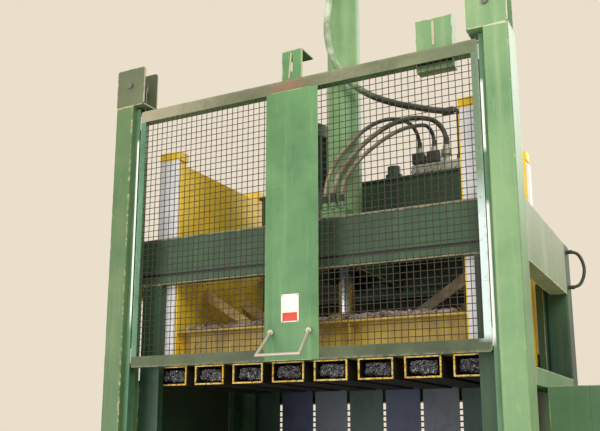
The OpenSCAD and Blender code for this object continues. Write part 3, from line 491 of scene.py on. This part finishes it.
# Modelling helpers: each adds a primitive with an operator and leaves it selected alone

def clearSelection():
    ops.object.select_all(action="DESELECT")


def finishPiece(name, material, smooth=None):
    piece = bpy.context.object
    piece.name = name
    ops.object.transform_apply(location=True, rotation=True, scale=True)
    if smooth is not None:
        ops.object.shade_smooth_by_angle(angle=math.radians(smooth))
    wearMaterial(piece, material)
    return piece


def addBlock(low, high, bevel=0.0, segments=2):
    clearSelection()
    size = [b - a for a, b in zip(low, high)]
    centre = [(a + b) / 2 for a, b in zip(low, high)]
    ops.mesh.primitive_cube_add(size=1, location=centre)
    block = bpy.context.object
    block.scale = size
    ops.object.transform_apply(location=True, rotation=True, scale=True)
    if bevel:
        ops.object.mode_set(mode="EDIT")
        ops.mesh.select_all(action="SELECT")
        ops.mesh.bevel(offset=bevel, segments=segments, affect="EDGES")
        ops.object.mode_set(mode="OBJECT")
    return block


def addRod(start, end, radius, sides=12, bevel=0.0):
    clearSelection()
    start, end = Vector(start), Vector(end)
    along = end - start
    ops.mesh.primitive_cylinder_add(vertices=sides, radius=radius, depth=along.length,
                                    location=(start + end) / 2,
                                    rotation=along.to_track_quat("Z", "Y").to_euler())
    rod = bpy.context.object
    ops.object.transform_apply(location=True, rotation=True, scale=True)
    if bevel:
        ops.object.mode_set(mode="EDIT")
        ops.mesh.select_all(action="DESELECT")
        ops.object.mode_set(mode="OBJECT")
        for edge in rod.data.edges:
            ends = [rod.data.vertices[i].co for i in edge.vertices]
            levels = [(v - start).dot(along.normalized()) for v in ends]
            edge.select = abs(levels[0] - levels[1]) < 1e-6
        ops.object.mode_set(mode="EDIT")
        ops.mesh.bevel(offset=bevel, segments=2, affect="EDGES")
        ops.object.mode_set(mode="OBJECT")
    return rod


def joined(name, pieces, material, smooth=None):
    clearSelection()
    for piece in pieces:
        piece.select_set(True)
    bpy.context.view_layer.objects.active = pieces[0]
    if len(pieces) > 1:
        ops.object.join()
    return finishPiece(name, material, smooth)


# Hoses: diameters in metres, the points of their routes in millimetres

hoses = {
    "mainHose": dict(diameter=0.030, nodes=["main_hose"], points=[
        (0, -100, 3605), (0, -100, 3570), (-10, -104, 3500), (-16, -110, 3420), (-12, -116, 3340),
        (6, -116, 3255), (40, -104, 3175), (94, -68, 3105), (164, -10, 3060), (240, 62, 3040),
        (310, 134, 3036), (364, 192, 3035), (408, 228, 3035), (432, 240, 3035), (451, 240, 3035)]),
    "portHose": dict(diameter=0.022, nodes=["lower_hoses"], points=[
        (0, -92, 2570), (0, -92, 2605), (14, -86, 2675), (54, -64, 2755), (110, -26, 2835),
        (172, 22, 2905), (234, 72, 2955), (296, 128, 2984), (353, 187, 2990), (380, 224, 2977),
        (398, 250, 2945), (405, 260, 2905), (405, 260, 2880)]),
    "rightValveHose": dict(diameter=0.018, nodes=["lower_hoses"], points=[
        (38, -92, 2570), (38, -92, 2600), (52, -90, 2660), (92, -74, 2732), (148, -38, 2802),
        (206, 12, 2866), (258, 70, 2916), (298, 130, 2946), (328, 190, 2966), (338, 228, 2962),
        (344, 256, 2940), (345, 270, 2903), (345, 270, 2886)]),
    "leftValveHose": dict(diameter=0.018, nodes=["lower_hoses"], points=[
        (-38, -92, 2570), (-38, -92, 2610), (-22, -92, 2690), (20, -74, 2780), (74, -34, 2866),
        (130, 18, 2936), (184, 80, 2980), (228, 148, 2996), (254, 200, 2990), (266, 236, 2972),
        (273, 260, 2940), (275, 270, 2904), (275, 270, 2886)]),
    "rearLoop": dict(diameter=0.014, nodes=["rear_hose"], points=[
        (865, 440, 2370), (885, 440, 2370), (910, 446, 2360), (926, 452, 2330), (932, 455, 2293),
        (926, 452, 2256), (910, 446, 2226), (885, 440, 2216), (865, 440, 2216)]),
}
hoseStep = {  # steps between two route points, then fitting sizes in hose radii
    "perStretch": 6, "ferrule": 2.7, "nut": 0.9, "collar": 0.2, "nutExtra": 0.4}


def smoothRoute(points):
    route = [Vector(p) / 1000 for p in points]
    last = len(route) - 1

    def slope(i):
        share = 1.0 if i in (0, last) else 0.5
        return (route[min(i + 1, last)] - route[max(i - 1, 0)]) * share

    made = []
    for i in range(last):
        for k in range(hoseStep["perStretch"]):
            u = k / hoseStep["perStretch"]
            made.append((2 * u**3 - 3 * u**2 + 1) * route[i] + (u**3 - 2 * u**2 + u) * slope(i)
                        + (3 * u**2 - 2 * u**3) * route[i + 1] + (u**3 - u**2) * slope(i + 1))
    return made + [route[last]]


def hoseFitting(name, mouth, along, radius, material):
    along = along.normalized()
    ferruleLength = radius * hoseStep["ferrule"]
    collar = radius * (1 + hoseStep["collar"])
    nutEnd = mouth + along * radius * hoseStep["nut"]
    nut = addRod(mouth + along * 0.0004, nutEnd, radius * (1 + hoseStep["nutExtra"]), 6, 0.001)
    ferrule = addRod(nutEnd, nutEnd + along * ferruleLength, collar, 16, 0.0008)
    rings = []
    for k in range(3):
        at = nutEnd + along * ferruleLength * (0.25 + 0.25 * k)
        rings.append(addRod(at, at + along * ferruleLength * 0.12, collar + 0.0008, 16, 0.0004))
    return joined(name, [nut, ferrule] + rings, material, 35)


def makeHoses(rubbers, steel):
    for name, hose in hoses.items():
        route = smoothRoute(hose["points"])
        line = bpy.data.curves.new(name, "CURVE")
        line.dimensions = "3D"
        line.bevel_depth = hose["diameter"] / 2
        line.bevel_resolution = 4
        line.use_fill_caps = True
        spline = line.splines.new("POLY")
        spline.points.add(len(route) - 1)
        for point, at in zip(spline.points, route):
            point.co = (*at, 1)
        spline.use_smooth = True
        piece = bpy.data.objects.new(name, line)
        bpy.context.scene.collection.objects.link(piece)
        wearMaterial(piece, rubbers[hose["nodes"][0]])
        radius = hose["diameter"] / 2
        ends = [hoseFitting(name + "Start", route[0], route[1] - route[0], radius, steel),
                hoseFitting(name + "End", route[-1], route[-2] - route[-1], radius, steel)]
        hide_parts(*hose["nodes"])
        for one in [piece] + ends:
            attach(one, "frame")
        length = sum((b - a).length for a, b in zip(route, route[1:]))
    print("hoses made")


# Welded mesh of the gate

meshGrid = {"pitch": 0.0254, "wire": 0.0031, "sides": 6, "front": -0.4745, "rim": 0.002}


def repeated(piece, step, count):
    row = piece.modifiers.new("row", "ARRAY")
    row.use_relative_offset = False
    row.use_constant_offset = True
    row.constant_offset_displace = step
    row.count = count
    ops.object.modifier_apply(modifier="row")
    return piece


def wireRow(start, end, step, count):
    return repeated(addRod(start, end, meshGrid["wire"] / 2, meshGrid["sides"]), step, count)


def makeGateMesh(material):
    for name in ("gate_mesh_left", "gate_mesh_right"):
        low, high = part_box(name)
        pitch, rim = meshGrid["pitch"], meshGrid["rim"]
        columns = int((high.x - low.x - 2 * rim) / pitch) + 1
        rows = int((high.z - low.z - 2 * rim) / pitch) + 1
        x = low.x + (high.x - low.x - (columns - 1) * pitch) / 2
        z = low.z + (high.z - low.z - (rows - 1) * pitch) / 2
        front, back = meshGrid["front"], meshGrid["front"] + meshGrid["wire"] * 0.9
        upright = wireRow((x, front, low.z), (x, front, high.z), (pitch, 0, 0), columns)
        level = wireRow((low.x, back, z), (high.x, back, z), (0, 0, pitch), rows)
        piece = joined("weldedMesh" + name.split("_")[-1].capitalize(), [upright, level], material, 60)
        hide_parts(name)
        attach(piece, "gate")
    print("gate mesh made")


# Ropes over the sheaves: straight strands down to the gate and the weights, and an arch over each sheave

ropeLook = {"radius": 0.003, "sides": 10, "cuts": 24, "turnSteps": 20}


def strand(name, x, z0, z1, material):
    clearSelection()
    y = (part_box("sheave_left")[0].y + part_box("sheave_left")[1].y) / 2
    ops.mesh.primitive_cylinder_add(vertices=ropeLook["sides"], radius=ropeLook["radius"], depth=z1 - z0,
                                    location=(x, y, (z0 + z1) / 2))
    piece = finishPiece(name, material, 40)
    for k in range(1, ropeLook["cuts"]):
        ops.object.mode_set(mode="EDIT")
        ops.mesh.select_all(action="SELECT")
        ops.mesh.bisect(plane_co=(x, y, z0 + (z1 - z0) * k / ropeLook["cuts"]), plane_no=(0, 0, 1))
        ops.object.mode_set(mode="OBJECT")
    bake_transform(piece)
    return piece


def makeRopes(material):
    for tag in ("Left", "Right"):
        low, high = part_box("sheave_" + tag.lower())
        middle = (low + high) / 2
        weight = "counterweight_" + tag.lower()
        reach = (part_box(weight)[0].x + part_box(weight)[1].x) / 2
        radius = abs(reach - middle.x)
        gateX = 2 * middle.x - reach
        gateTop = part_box("gate_frame")[1].z
        strands = [strand("gateRope" + tag, gateX, gateTop, middle.z, material),
                   strand("weightRope" + tag, reach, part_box(weight)[1].z, middle.z,
                          material)]
        clearSelection()
        ops.mesh.primitive_circle_add(vertices=ropeLook["sides"], radius=ropeLook["radius"],
                                      location=(middle.x + radius, middle.y, middle.z))
        arch = bpy.context.object
        ops.object.mode_set(mode="EDIT")
        ops.mesh.select_all(action="SELECT")
        ops.mesh.spin(steps=ropeLook["turnSteps"], angle=-math.pi, center=middle, axis=(0, 1, 0))
        ops.mesh.select_all(action="SELECT")
        ops.mesh.remove_doubles(threshold=0.00005)
        ops.mesh.normals_make_consistent(inside=False)
        ops.object.mode_set(mode="OBJECT")
        arch = finishPiece("ropeArch" + tag, material, 40)
        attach(arch, "frame")
        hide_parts("gate_ropes")
        for one in strands:
            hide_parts("gate_ropes")
    print("ropes made")


# Blank plate on the centre panel: a white sheet with a plain red field and four rivets

plate = {"width": 0.074, "low": 2.008, "high": 2.114, "thick": 0.0015,
         "red": (2.012, 2.044), "redMargin": 0.006, "redThick": 0.0006,
         "rivet": 0.0028, "rivetHeight": 0.0015, "sideInset": 0.005, "lowInset": 0.0035, "highInset": 0.005}


def makePlate():
    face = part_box("gate_panel")[0].y
    front = face - plate["thick"]
    half = plate["width"] / 2
    white = plainLook("plateWhite", colour(232, 228, 218), colour(196, 190, 176), 0.42)
    red = plainLook("plateRed", colour(196, 62, 46), colour(150, 60, 44), 0.42)
    steel = steelFor("rivetSteel", colour(150, 150, 146), colour(110, 100, 86))
    addBlock((-half, front, plate["low"]), (half, face - 0.0002, plate["high"]), 0.0004)
    sheet = finishPiece("blankPlate", white, 30)
    redHalf = half - plate["redMargin"]
    addBlock((-redHalf, front - plate["redThick"], plate["red"][0]),
             (redHalf, front + 0.0001, plate["red"][1]), 0.0002)
    field = finishPiece("plateField", red, 30)
    rivets = []
    reach = half - plate["sideInset"]
    for x in (-reach, reach):
        for z in (plate["low"] + plate["lowInset"], plate["high"] - plate["highInset"]):
            rivets.append(addRod((x, front - plate["rivetHeight"], z), (x, face - 0.0004, z),
                                 plate["rivet"], 12, 0.0006))
    rivets = joined("plateRivets", rivets, steel, 40)
    for piece, slot in ((sheet, "nylon"), (field, "button_red"), (rivets, "bare_steel")):
        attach(piece, "gate")
    print("plate made")


# Crumpled film in the front of the platen's channels

film = {"width": 0.118, "depth": 0.13, "height": 0.060, "push": 0.006, "count": 8, "inset": 0.0695,
        "foldDepth": 0.02, "foldSize": 0.022, "seed": 11}


def crumple(name, centre, size, strength, scale, seed):
    clearSelection()
    ops.mesh.primitive_ico_sphere_add(subdivisions=5, radius=1, location=(0, 0, 0))
    lump = bpy.context.object
    turn = random.Random(seed)
    lump.rotation_euler = [turn.uniform(0, 6) for _ in range(3)]
    ops.object.transform_apply(location=False, rotation=True, scale=False)
    for vertex in lump.data.vertices:
        p = vertex.co
        boxy = max(abs(p.x), abs(p.y), abs(p.z)) ** 0.75
        vertex.co = [p[i] / boxy * size[i] / 2 for i in range(3)]
    clouds = bpy.data.textures.new(name + "Folds", "VORONOI")
    clouds.noise_scale = scale
    clouds.distance_metric = "DISTANCE"
    folds = lump.modifiers.new("folds", "DISPLACE")
    folds.texture = clouds
    folds.strength = strength
    folds.mid_level = 0.8
    folds.texture_coords = "LOCAL"
    ops.object.modifier_apply(modifier="folds")
    for vertex in lump.data.vertices:
        vertex.co = [max(-size[i] / 2, min(size[i] / 2, vertex.co[i])) + centre[i] for i in range(3)]
    lump.data.update()
    return lump


def makeFilm(material):
    low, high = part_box("platen_channels")
    pitch = (high.x - low.x - 2 * film["inset"]) / (film["count"] - 1)
    size = (film["width"], film["depth"], film["height"])
    lumps = []
    for k in range(film["count"]):
        depth = low.y + film["depth"] / 2 + film["push"] * (k % 3)
        centre = (low.x + film["inset"] + k * pitch, depth, (low.z + high.z) / 2)
        lumps.append(crumple("film%d" % k, centre, size, film["foldDepth"], film["foldSize"],
                             film["seed"] + k))
    piece = joined("crumpledFilm", lumps, material)
    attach(piece, "platen")
    print("film made")


# Flakes of litter on the deck's front and rear flanges

flangeHeight = 0.150  # from the top of the channels to the flanges
litter = {"flakes": 260, "small": 0.008, "large": 0.028, "heap": 0.012, "margin": 0.03,
          "band": (0.008, 0.066), "rearShare": 0.3, "tilt": 0.35, "bend": 0.2}


def makeLitter(material):
    low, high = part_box("platen_deck")
    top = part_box("platen_channels")[1].z + flangeHeight
    margin, tip, bow = litter["margin"], litter["tilt"], litter["bend"]
    pick = random.Random(5)
    clearSelection()
    ops.mesh.primitive_plane_add(size=1)
    flake = bpy.context.object
    ops.object.mode_set(mode="EDIT")
    ops.mesh.subdivide(number_cuts=2)
    ops.object.mode_set(mode="OBJECT")
    sheet = flake.modifiers.new("thickness", "SOLIDIFY")
    sheet.thickness = 0.05
    ops.object.modifier_apply(modifier="thickness")
    base = flake.data.copy()
    bpy.data.objects.remove(flake)
    whole = bmesh.new()
    for _ in range(litter["flakes"]):
        size = pick.uniform(litter["small"], litter["large"])
        rear = pick.random() < litter["rearShare"]
        x = pick.uniform(low.x + margin, high.x - margin)
        inset = pick.uniform(*litter["band"])
        y = high.y - inset if rear else low.y + inset
        tilt = [pick.uniform(-tip, tip), pick.uniform(-tip, tip), pick.uniform(0, 6)]
        bend = [pick.uniform(-bow, bow) for _ in range(16)]  # one for each vertex of a face
        start = len(whole.verts)
        whole.from_mesh(base)
        whole.verts.ensure_lookup_table()
        turn = Euler(tilt).to_matrix()
        new = whole.verts[start:]
        for i, vertex in enumerate(new):
            vertex.co.z += bend[i % 16] * 0.6
            vertex.co = turn @ (vertex.co * size)
        floor = min(v.co.z for v in new)
        lift = top - floor + 0.0003 + pick.random() ** 3 * litter["heap"]
        for vertex in new:
            vertex.co += Vector((x, y, lift))
    mesh = bpy.data.meshes.new("deckLitter")
    whole.to_mesh(mesh)
    whole.free()
    piece = bpy.data.objects.new("deckLitter", mesh)
    bpy.context.scene.collection.objects.link(piece)
    wearMaterial(piece, material)
    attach(piece, "platen")
    print("litter made")


# Drifts of fluff on the deck's front and rear flanges

drift = {"across": 150, "deep": 12, "width": 0.066, "height": 0.030, "skin": 0.0012, "margin": 0.03}


def makeDrifts(material):
    low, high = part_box("platen_deck")
    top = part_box("platen_channels")[1].z + flangeHeight
    lumps = []
    for start in (low.y + 0.004, high.y - 0.004 - drift["width"]):
        clearSelection()
        ops.mesh.primitive_grid_add(x_subdivisions=drift["across"], y_subdivisions=drift["deep"], size=1)
        sheet = bpy.context.object
        length = high.x - low.x - 2 * drift["margin"]
        for vertex in sheet.data.vertices:
            u, v = vertex.co.x + 0.5, vertex.co.y + 0.5
            x, y = low.x + drift["margin"] + u * length, start + v * drift["width"]
            fade = min(1.0, 8 * v * (1 - v), 40 * u, 40 * (1 - u))
            broad = noise.noise(Vector((x * 7, y * 9, 3)))
            fine = noise.noise(Vector((x * 60, y * 60, 8)))
            rough = 0.5 + 0.5 * broad + 0.3 * fine
            vertex.co = (x, y, top + drift["skin"] + 0.0004 + max(0.0, rough) * fade * drift["height"])
        thick = sheet.modifiers.new("skin", "SOLIDIFY")
        thick.thickness = drift["skin"]
        ops.object.modifier_apply(modifier="skin")
        lumps.append(sheet)
    piece = joined("deckDrifts", lumps, material, 50)
    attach(piece, "platen")
    print("drifts made")


# Level bars behind the slots of the rear wall, in the bays between the ribs

rearBars = {"pitch": 0.0262, "height": 0.007, "thick": 0.003, "gap": 0.0006, "ribHeight": 0.080,
            "margin": 0.006, "ribs": [0.166, 0.560, 1.040, 1.460, 1.740]}


def makeRearBars(material):
    low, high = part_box("rear_panels")
    y = high.y + rearBars["gap"]
    rows = []
    for below, above in zip(rearBars["ribs"], rearBars["ribs"][1:]):
        z0, z1 = below + rearBars["ribHeight"] + rearBars["margin"], above - rearBars["margin"]
        bar = addBlock((low.x, y, z0), (high.x, y + rearBars["thick"], z0 + rearBars["height"]), 0.0006, 1)
        count = int((z1 - z0 - rearBars["height"]) / rearBars["pitch"]) + 1
        rows.append(repeated(bar, (0, 0, rearBars["pitch"]), count))
    piece = joined("rearSlotBars", rows, material, 60)
    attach(piece, "frame")
    print("rear bars made")


# Plate that closes the back between the slotted wall and the rear beam, coloured near-black as painted shade

closing = {"thick": 0.0056, "fit": 0.0004, "inset": 0.100, "bevel": 0.001}


def makeClosingPlate():
    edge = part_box("rear_beam")[0].x + closing["inset"]
    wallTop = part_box("rear_panels")[1].z
    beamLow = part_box("rear_beam")[0].z
    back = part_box("rear_panels")[0].y
    fit = closing["fit"]
    addBlock((edge + fit, back - closing["thick"], wallTop + fit),
             (-edge - fit, back - fit, beamLow - fit), closing["bevel"])
    # Near-black colour: painted shade
    paint = plainLook("closingShadePaint", colour(18, 28, 22), colour(40, 46, 36), 0.6)
    piece = finishPiece("rearClosingPlate", paint, 30)
    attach(piece, "frame")
    print("closing plate made")


# Strips on the faces of the latch bracket and the switch housing

strips = {
    "latchStrip": dict(node="latch_bracket", x=0.0385, top=0.014, size=(0.007, 0.002, 0.112), lean=5.1),
    "switchStrip": dict(node="switch_box", x=0.069, top=0.012, size=(0.010, 0.002, 0.098), lean=0.0),
}


def makeStrips():
    paint = plainLook("stripPaint", colour(186, 174, 146), colour(112, 88, 66), 0.55)
    for name, strip in strips.items():
        low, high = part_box(strip["node"])
        width, depth, height = strip["size"]
        addBlock((-width / 2, -depth / 2, -height / 2), (width / 2, depth / 2, height / 2), 0.0006)
        piece = bpy.context.object
        piece.rotation_euler = (0, math.radians(strip["lean"]), 0)
        piece.location = (low.x + strip["x"], low.y - depth / 2 - 0.0002, high.z - strip["top"] - height / 2)
        piece = finishPiece(name, paint, 30)
        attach(piece, "frame")
    print("strips made")


# Power pack: bolts of the tank, coils of the valves, plugs of the manifold and grille of the motor

pack = {
    "boltRadius": 0.009, "boltHeight": 0.007, "tankBolts": 9, "boltInset": (0.03, 0.018), "lidTop": 2.724,
    "noBolts": [(-0.52, -0.17, 0.12, 0.47), (0.24, 0.52, 0.2, 0.33)],  # under the motor and the valves
    "coil": 0.030, "coilHeight": 0.052, "coilX": (0.275, 0.345), "coilY": (0.238, 0.302), "coilFoot": 2.808,
    "plugX": (0.262, 0.300, 0.338, 0.376, 0.446), "plugY": (0.2198, 0.206), "plugZ": 2.76, "plug": 0.0125,
    "rings": 5, "innerRing": 0.028, "ringPitch": 0.022, "ringWire": 0.0022, "spoke": 0.122, "fanBack": 0.015}


def boltHead(at, along, radius, height):
    along = Vector(along).normalized()
    at = Vector(at)
    return [addRod(at + along * 0.0002, at + along * 0.0022, radius * 1.35, 18, 0.0004),
            addRod(at + along * 0.0022, at + along * height, radius, 6, 0.0008)]


def makePackDetail(looks):
    low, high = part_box("oil_tank")
    insetX, insetY = pack["boltInset"]
    heads = []
    for k in range(pack["tankBolts"]):
        x = low.x + insetX + k * (high.x - low.x - 2 * insetX) / (pack["tankBolts"] - 1)
        for y in (low.y + insetY, high.y - insetY):
            if not any(x0 < x < x1 and y0 < y < y1 for x0, x1, y0, y1 in pack["noBolts"]):
                heads += boltHead((x, y, pack["lidTop"]), (0, 0, 1), pack["boltRadius"], pack["boltHeight"])
    bolts = joined("tankBolts", heads, looks["steel"], 35)
    half, foot = pack["coil"], pack["coilFoot"]
    front, back = pack["coilY"]
    coils = [addBlock((x - half, front, foot), (x + half, back, foot + pack["coilHeight"]), 0.004)
             for x in pack["coilX"]]
    black = plainLook("coilBlack", colour(38, 40, 40), colour(90, 88, 80), 0.45)
    coils = joined("valveCoils", coils, black, 35)
    back, front = pack["plugY"]
    plugs = [addRod((x, back, pack["plugZ"]), (x, front, pack["plugZ"]), pack["plug"], 6, 0.0012)
             for x in pack["plugX"]]
    plugs = joined("manifoldPlugs", plugs, looks["bright"], 35)
    lowMotor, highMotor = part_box("motor")
    middle = (lowMotor + highMotor) / 2
    grille = []
    for k in range(pack["rings"]):
        clearSelection()
        ops.mesh.primitive_torus_add(major_radius=pack["innerRing"] + k * pack["ringPitch"],
                                     minor_radius=pack["ringWire"], major_segments=40, minor_segments=8,
                                     location=(middle.x, middle.y + pack["fanBack"], highMotor.z + 0.0024))
        grille.append(bpy.context.object)
    heart = Vector((middle.x, middle.y + pack["fanBack"], highMotor.z + 0.0044))
    for degrees in (0, 60, 120):
        turn = math.radians(degrees)
        reach = Vector((math.cos(turn), math.sin(turn), 0)) * pack["spoke"]
        grille.append(addRod(heart - reach, heart + reach, 0.002, 8))
    grille = joined("fanGrille", grille, looks["dark"], 60)
    for piece, slot in ((bolts, "bare_steel"), (coils, "hose_rubber"), (plugs, "bare_steel"),
                        (grille, "bare_steel")):
        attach(piece, "frame")
    print("power pack dressed")


# Fixings on the door, the latch and the cabinet

fixing = {
    "hinge": (-0.818, -0.522), "hingeZ": (0.1505, 0.2801, 0.4475, 0.5775, 0.7455, 0.8751), "hingeBolt": 0.008,
    "latch": (0.82, -0.538, 0.535), "nut": 0.013, "nutHeight": 0.012,
    "lock": 0.011, "lockX": (1.0438, 1.0478), "lockInset": 0.025, "lockLow": 0.11, "lockHigh": 0.34,
    "keyX": (1.0476, 1.0486), "keyInset": (0.0235, 0.0265), "keyHalf": 0.006}


def makeFixings(looks):
    heads = []
    for z in fixing["hingeZ"]:
        heads += boltHead((*fixing["hinge"], z), (0, -1, 0), fixing["hingeBolt"], fixing["hingeBolt"])
    hinge = joined("hingeBolts", heads, looks["steel"], 35)
    nut = boltHead(fixing["latch"], (0, -1, 0), fixing["nut"], fixing["nutHeight"])
    pivot = joined("latchNut", nut, looks["steel"], 35)
    lidLow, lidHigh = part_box("cabinet_door")
    back, front = fixing["lockX"]
    keyBack, keyFront = fixing["keyX"]
    keyLow, keyHigh = [lidLow.y + inset for inset in fixing["keyInset"]]
    y, half = lidLow.y + fixing["lockInset"], fixing["keyHalf"]
    locks = []
    for z in (lidLow.z + fixing["lockLow"], lidHigh.z - fixing["lockHigh"]):
        locks.append(addRod((back, y, z), (front, y, z), fixing["lock"], 20, 0.001))
        locks.append(addBlock((keyBack, keyLow, z - half), (keyFront, keyHigh, z + half), 0.0003))
    locks = joined("lidLocks", locks, looks["bright"], 35)
    for piece, body in ((hinge, "frame"), (pivot, "latch"), (locks, "cabinet_lid")):
        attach(piece, body)
    print("fixings made")


# The gate's frame and rails wear special marks: a rusty top bar, a pale lower stile, and on the rails a
# bright line of rubbed wear with painted highlight

def dressGate():
    low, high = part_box("gate_frame")
    finish = Finish("gateFramePaint")
    x, _, z = finish.axes()
    clouds = finish.noise(5.0, 5.0, 0.65, warp=0.5)
    runs = finish.noise(1.0, 5.0, 0.7, finish.stretched(4, 30, 30))
    fine = finish.noise(70.0, 4.0, 0.65)
    stile = finish.blend(clouds.over(0.35, 0.65), colour(60, 104, 80), colour(92, 138, 108))
    stile = finish.blend(x.over(0.70, 0.722) * 0.7, stile, colour(104, 124, 98))
    bar = finish.blend(clouds.over(0.38, 0.62), colour(88, 94, 72), colour(120, 122, 96))
    bar = finish.blend((1 - x.over(-0.72, -0.25)) * 0.5, bar, colour(186, 178, 154))
    rusty = x.over(-0.13, -0.08) * (1 - x.over(0.02, 0.08)) * (runs * 0.6 + clouds * 0.4).over(0.44, 0.54)
    bar = finish.blend(rusty * 0.7, bar, colour(134, 98, 74))
    bar = finish.blend(x.over(0.2, 0.7) * 0.35, bar, colour(96, 122, 86))
    foot = finish.blend(clouds.over(0.38, 0.62), colour(52, 66, 44), colour(80, 92, 62))
    skin = finish.blend(z.over(high.z - 0.054, high.z - 0.048), stile, bar)
    skin = finish.blend(z.over(low.z + 0.043, low.z + 0.047), foot, skin)
    pale = x.over(0.70, 0.722) * (1 - z.over(2.32, 2.50)) * z.over(low.z + 0.03, low.z + 0.06)
    pale = pale * (clouds * 0.7 + fine * 0.4).over(0.16, 0.40)
    skin = finish.blend(pale * 0.9, skin, colour(206, 226, 228))
    edgeWearAndHighlight = (1 - edgeDistance(finish, low, high).over(0.001, 0.010)) * fine.over(0.4, 0.62)
    # Pale edges of the gate frame: rubbed wear with a painted highlight along them
    skin = finish.blend(edgeWearAndHighlight * 0.4, skin, colour(168, 170, 146))
    skin = finish.blend(fine.over(0.60, 0.72) * 0.5, skin, colour(62, 58, 44))
    wearMaterial(nodes["gate_frame"], finish.done(Base_Color=skin, Roughness=0.5 + clouds * 0.2,
                                                  Normal=finish.bump(fine + clouds, 0.3, 0.001)))
    finish = Finish("gateRailPaint")
    x, _, z = finish.axes()
    clouds = finish.noise(1.0, 5.0, 0.65, finish.stretched(8, 8, 3.2))
    fine = finish.noise(60.0, 4.0, 0.65)
    side = x.math("ABSOLUTE")
    skin = finish.blend(clouds.over(0.35, 0.65), colour(52, 92, 68), colour(90, 132, 96))
    right = x.over(-0.01, 0.01)
    leftBand = z.over(2.02, 2.10) * (1 - z.over(2.84, 2.86))
    rightHigh = z.over(2.55, 2.575) * (1 - z.over(2.81, 2.83))
    rightLow = z.over(1.88, 1.92) * (1 - z.over(2.36, 2.385))
    band = right * rightHigh.math("MAXIMUM", rightLow) + (1 - right) * leftBand
    front = 1 - finish.facing(1).over(-0.6, -0.4)
    # Bright line on the rails' front faces: rubbed wear with painted highlight
    bright = band * front * (1 - side.over(0.7605, 0.7625)) * clouds.over(0.30, 0.40)
    skin = finish.blend(bright, skin, colour(228, 232, 228))
    skin = finish.blend(fine.over(0.62, 0.74) * 0.3, skin, colour(80, 74, 56))
    wearMaterial(nodes["gate_rails"], finish.done(Base_Color=skin, Roughness=0.42 + fine * 0.2,
                                                  Normal=finish.bump(fine, 0.25, 0.001)))


setCamera()
setRoom()
looks = dressNodes()
dressGate()
print("nodes dressed")
cleanRubber = (colour(34, 44, 36), colour(72, 84, 66))  # bare rubber and its dust
# Pale dusty green with painted highlight, for the near end of the main hose
litDustyGreenRubber = (colour(122, 142, 112), colour(190, 205, 180))
brownRubber = (colour(124, 116, 94), colour(180, 170, 144))
rubbers = {
    "main_hose": rubberLook("mainHoseRubber", litDustyGreenRubber, cleanRubber, 0, 0.06, 0.18),
    "lower_hoses": rubberLook("valveHoseRubber", brownRubber, cleanRubber, 2, 2.80, 2.94),
    "rear_hose": rubberLook("rearHoseRubber", cleanRubber, cleanRubber, 2, 2.2, 2.4)}
makeHoses(rubbers, looks["dark"])
wireSteel = steelFor("wireSteel", colour(60, 53, 46), colour(42, 35, 29), 0.6, 0.2, 0.6)
makeGateMesh(wireSteel)
makeRopes(looks["steel"])
makePlate()
makeFilm(filmLook())
fluff = litterLook()
makeDrifts(fluff)
makeLitter(fluff)
makeRearBars(wireSteel)
makeClosingPlate()
makeStrips()
makePackDetail(looks)
makeFixings(looks)
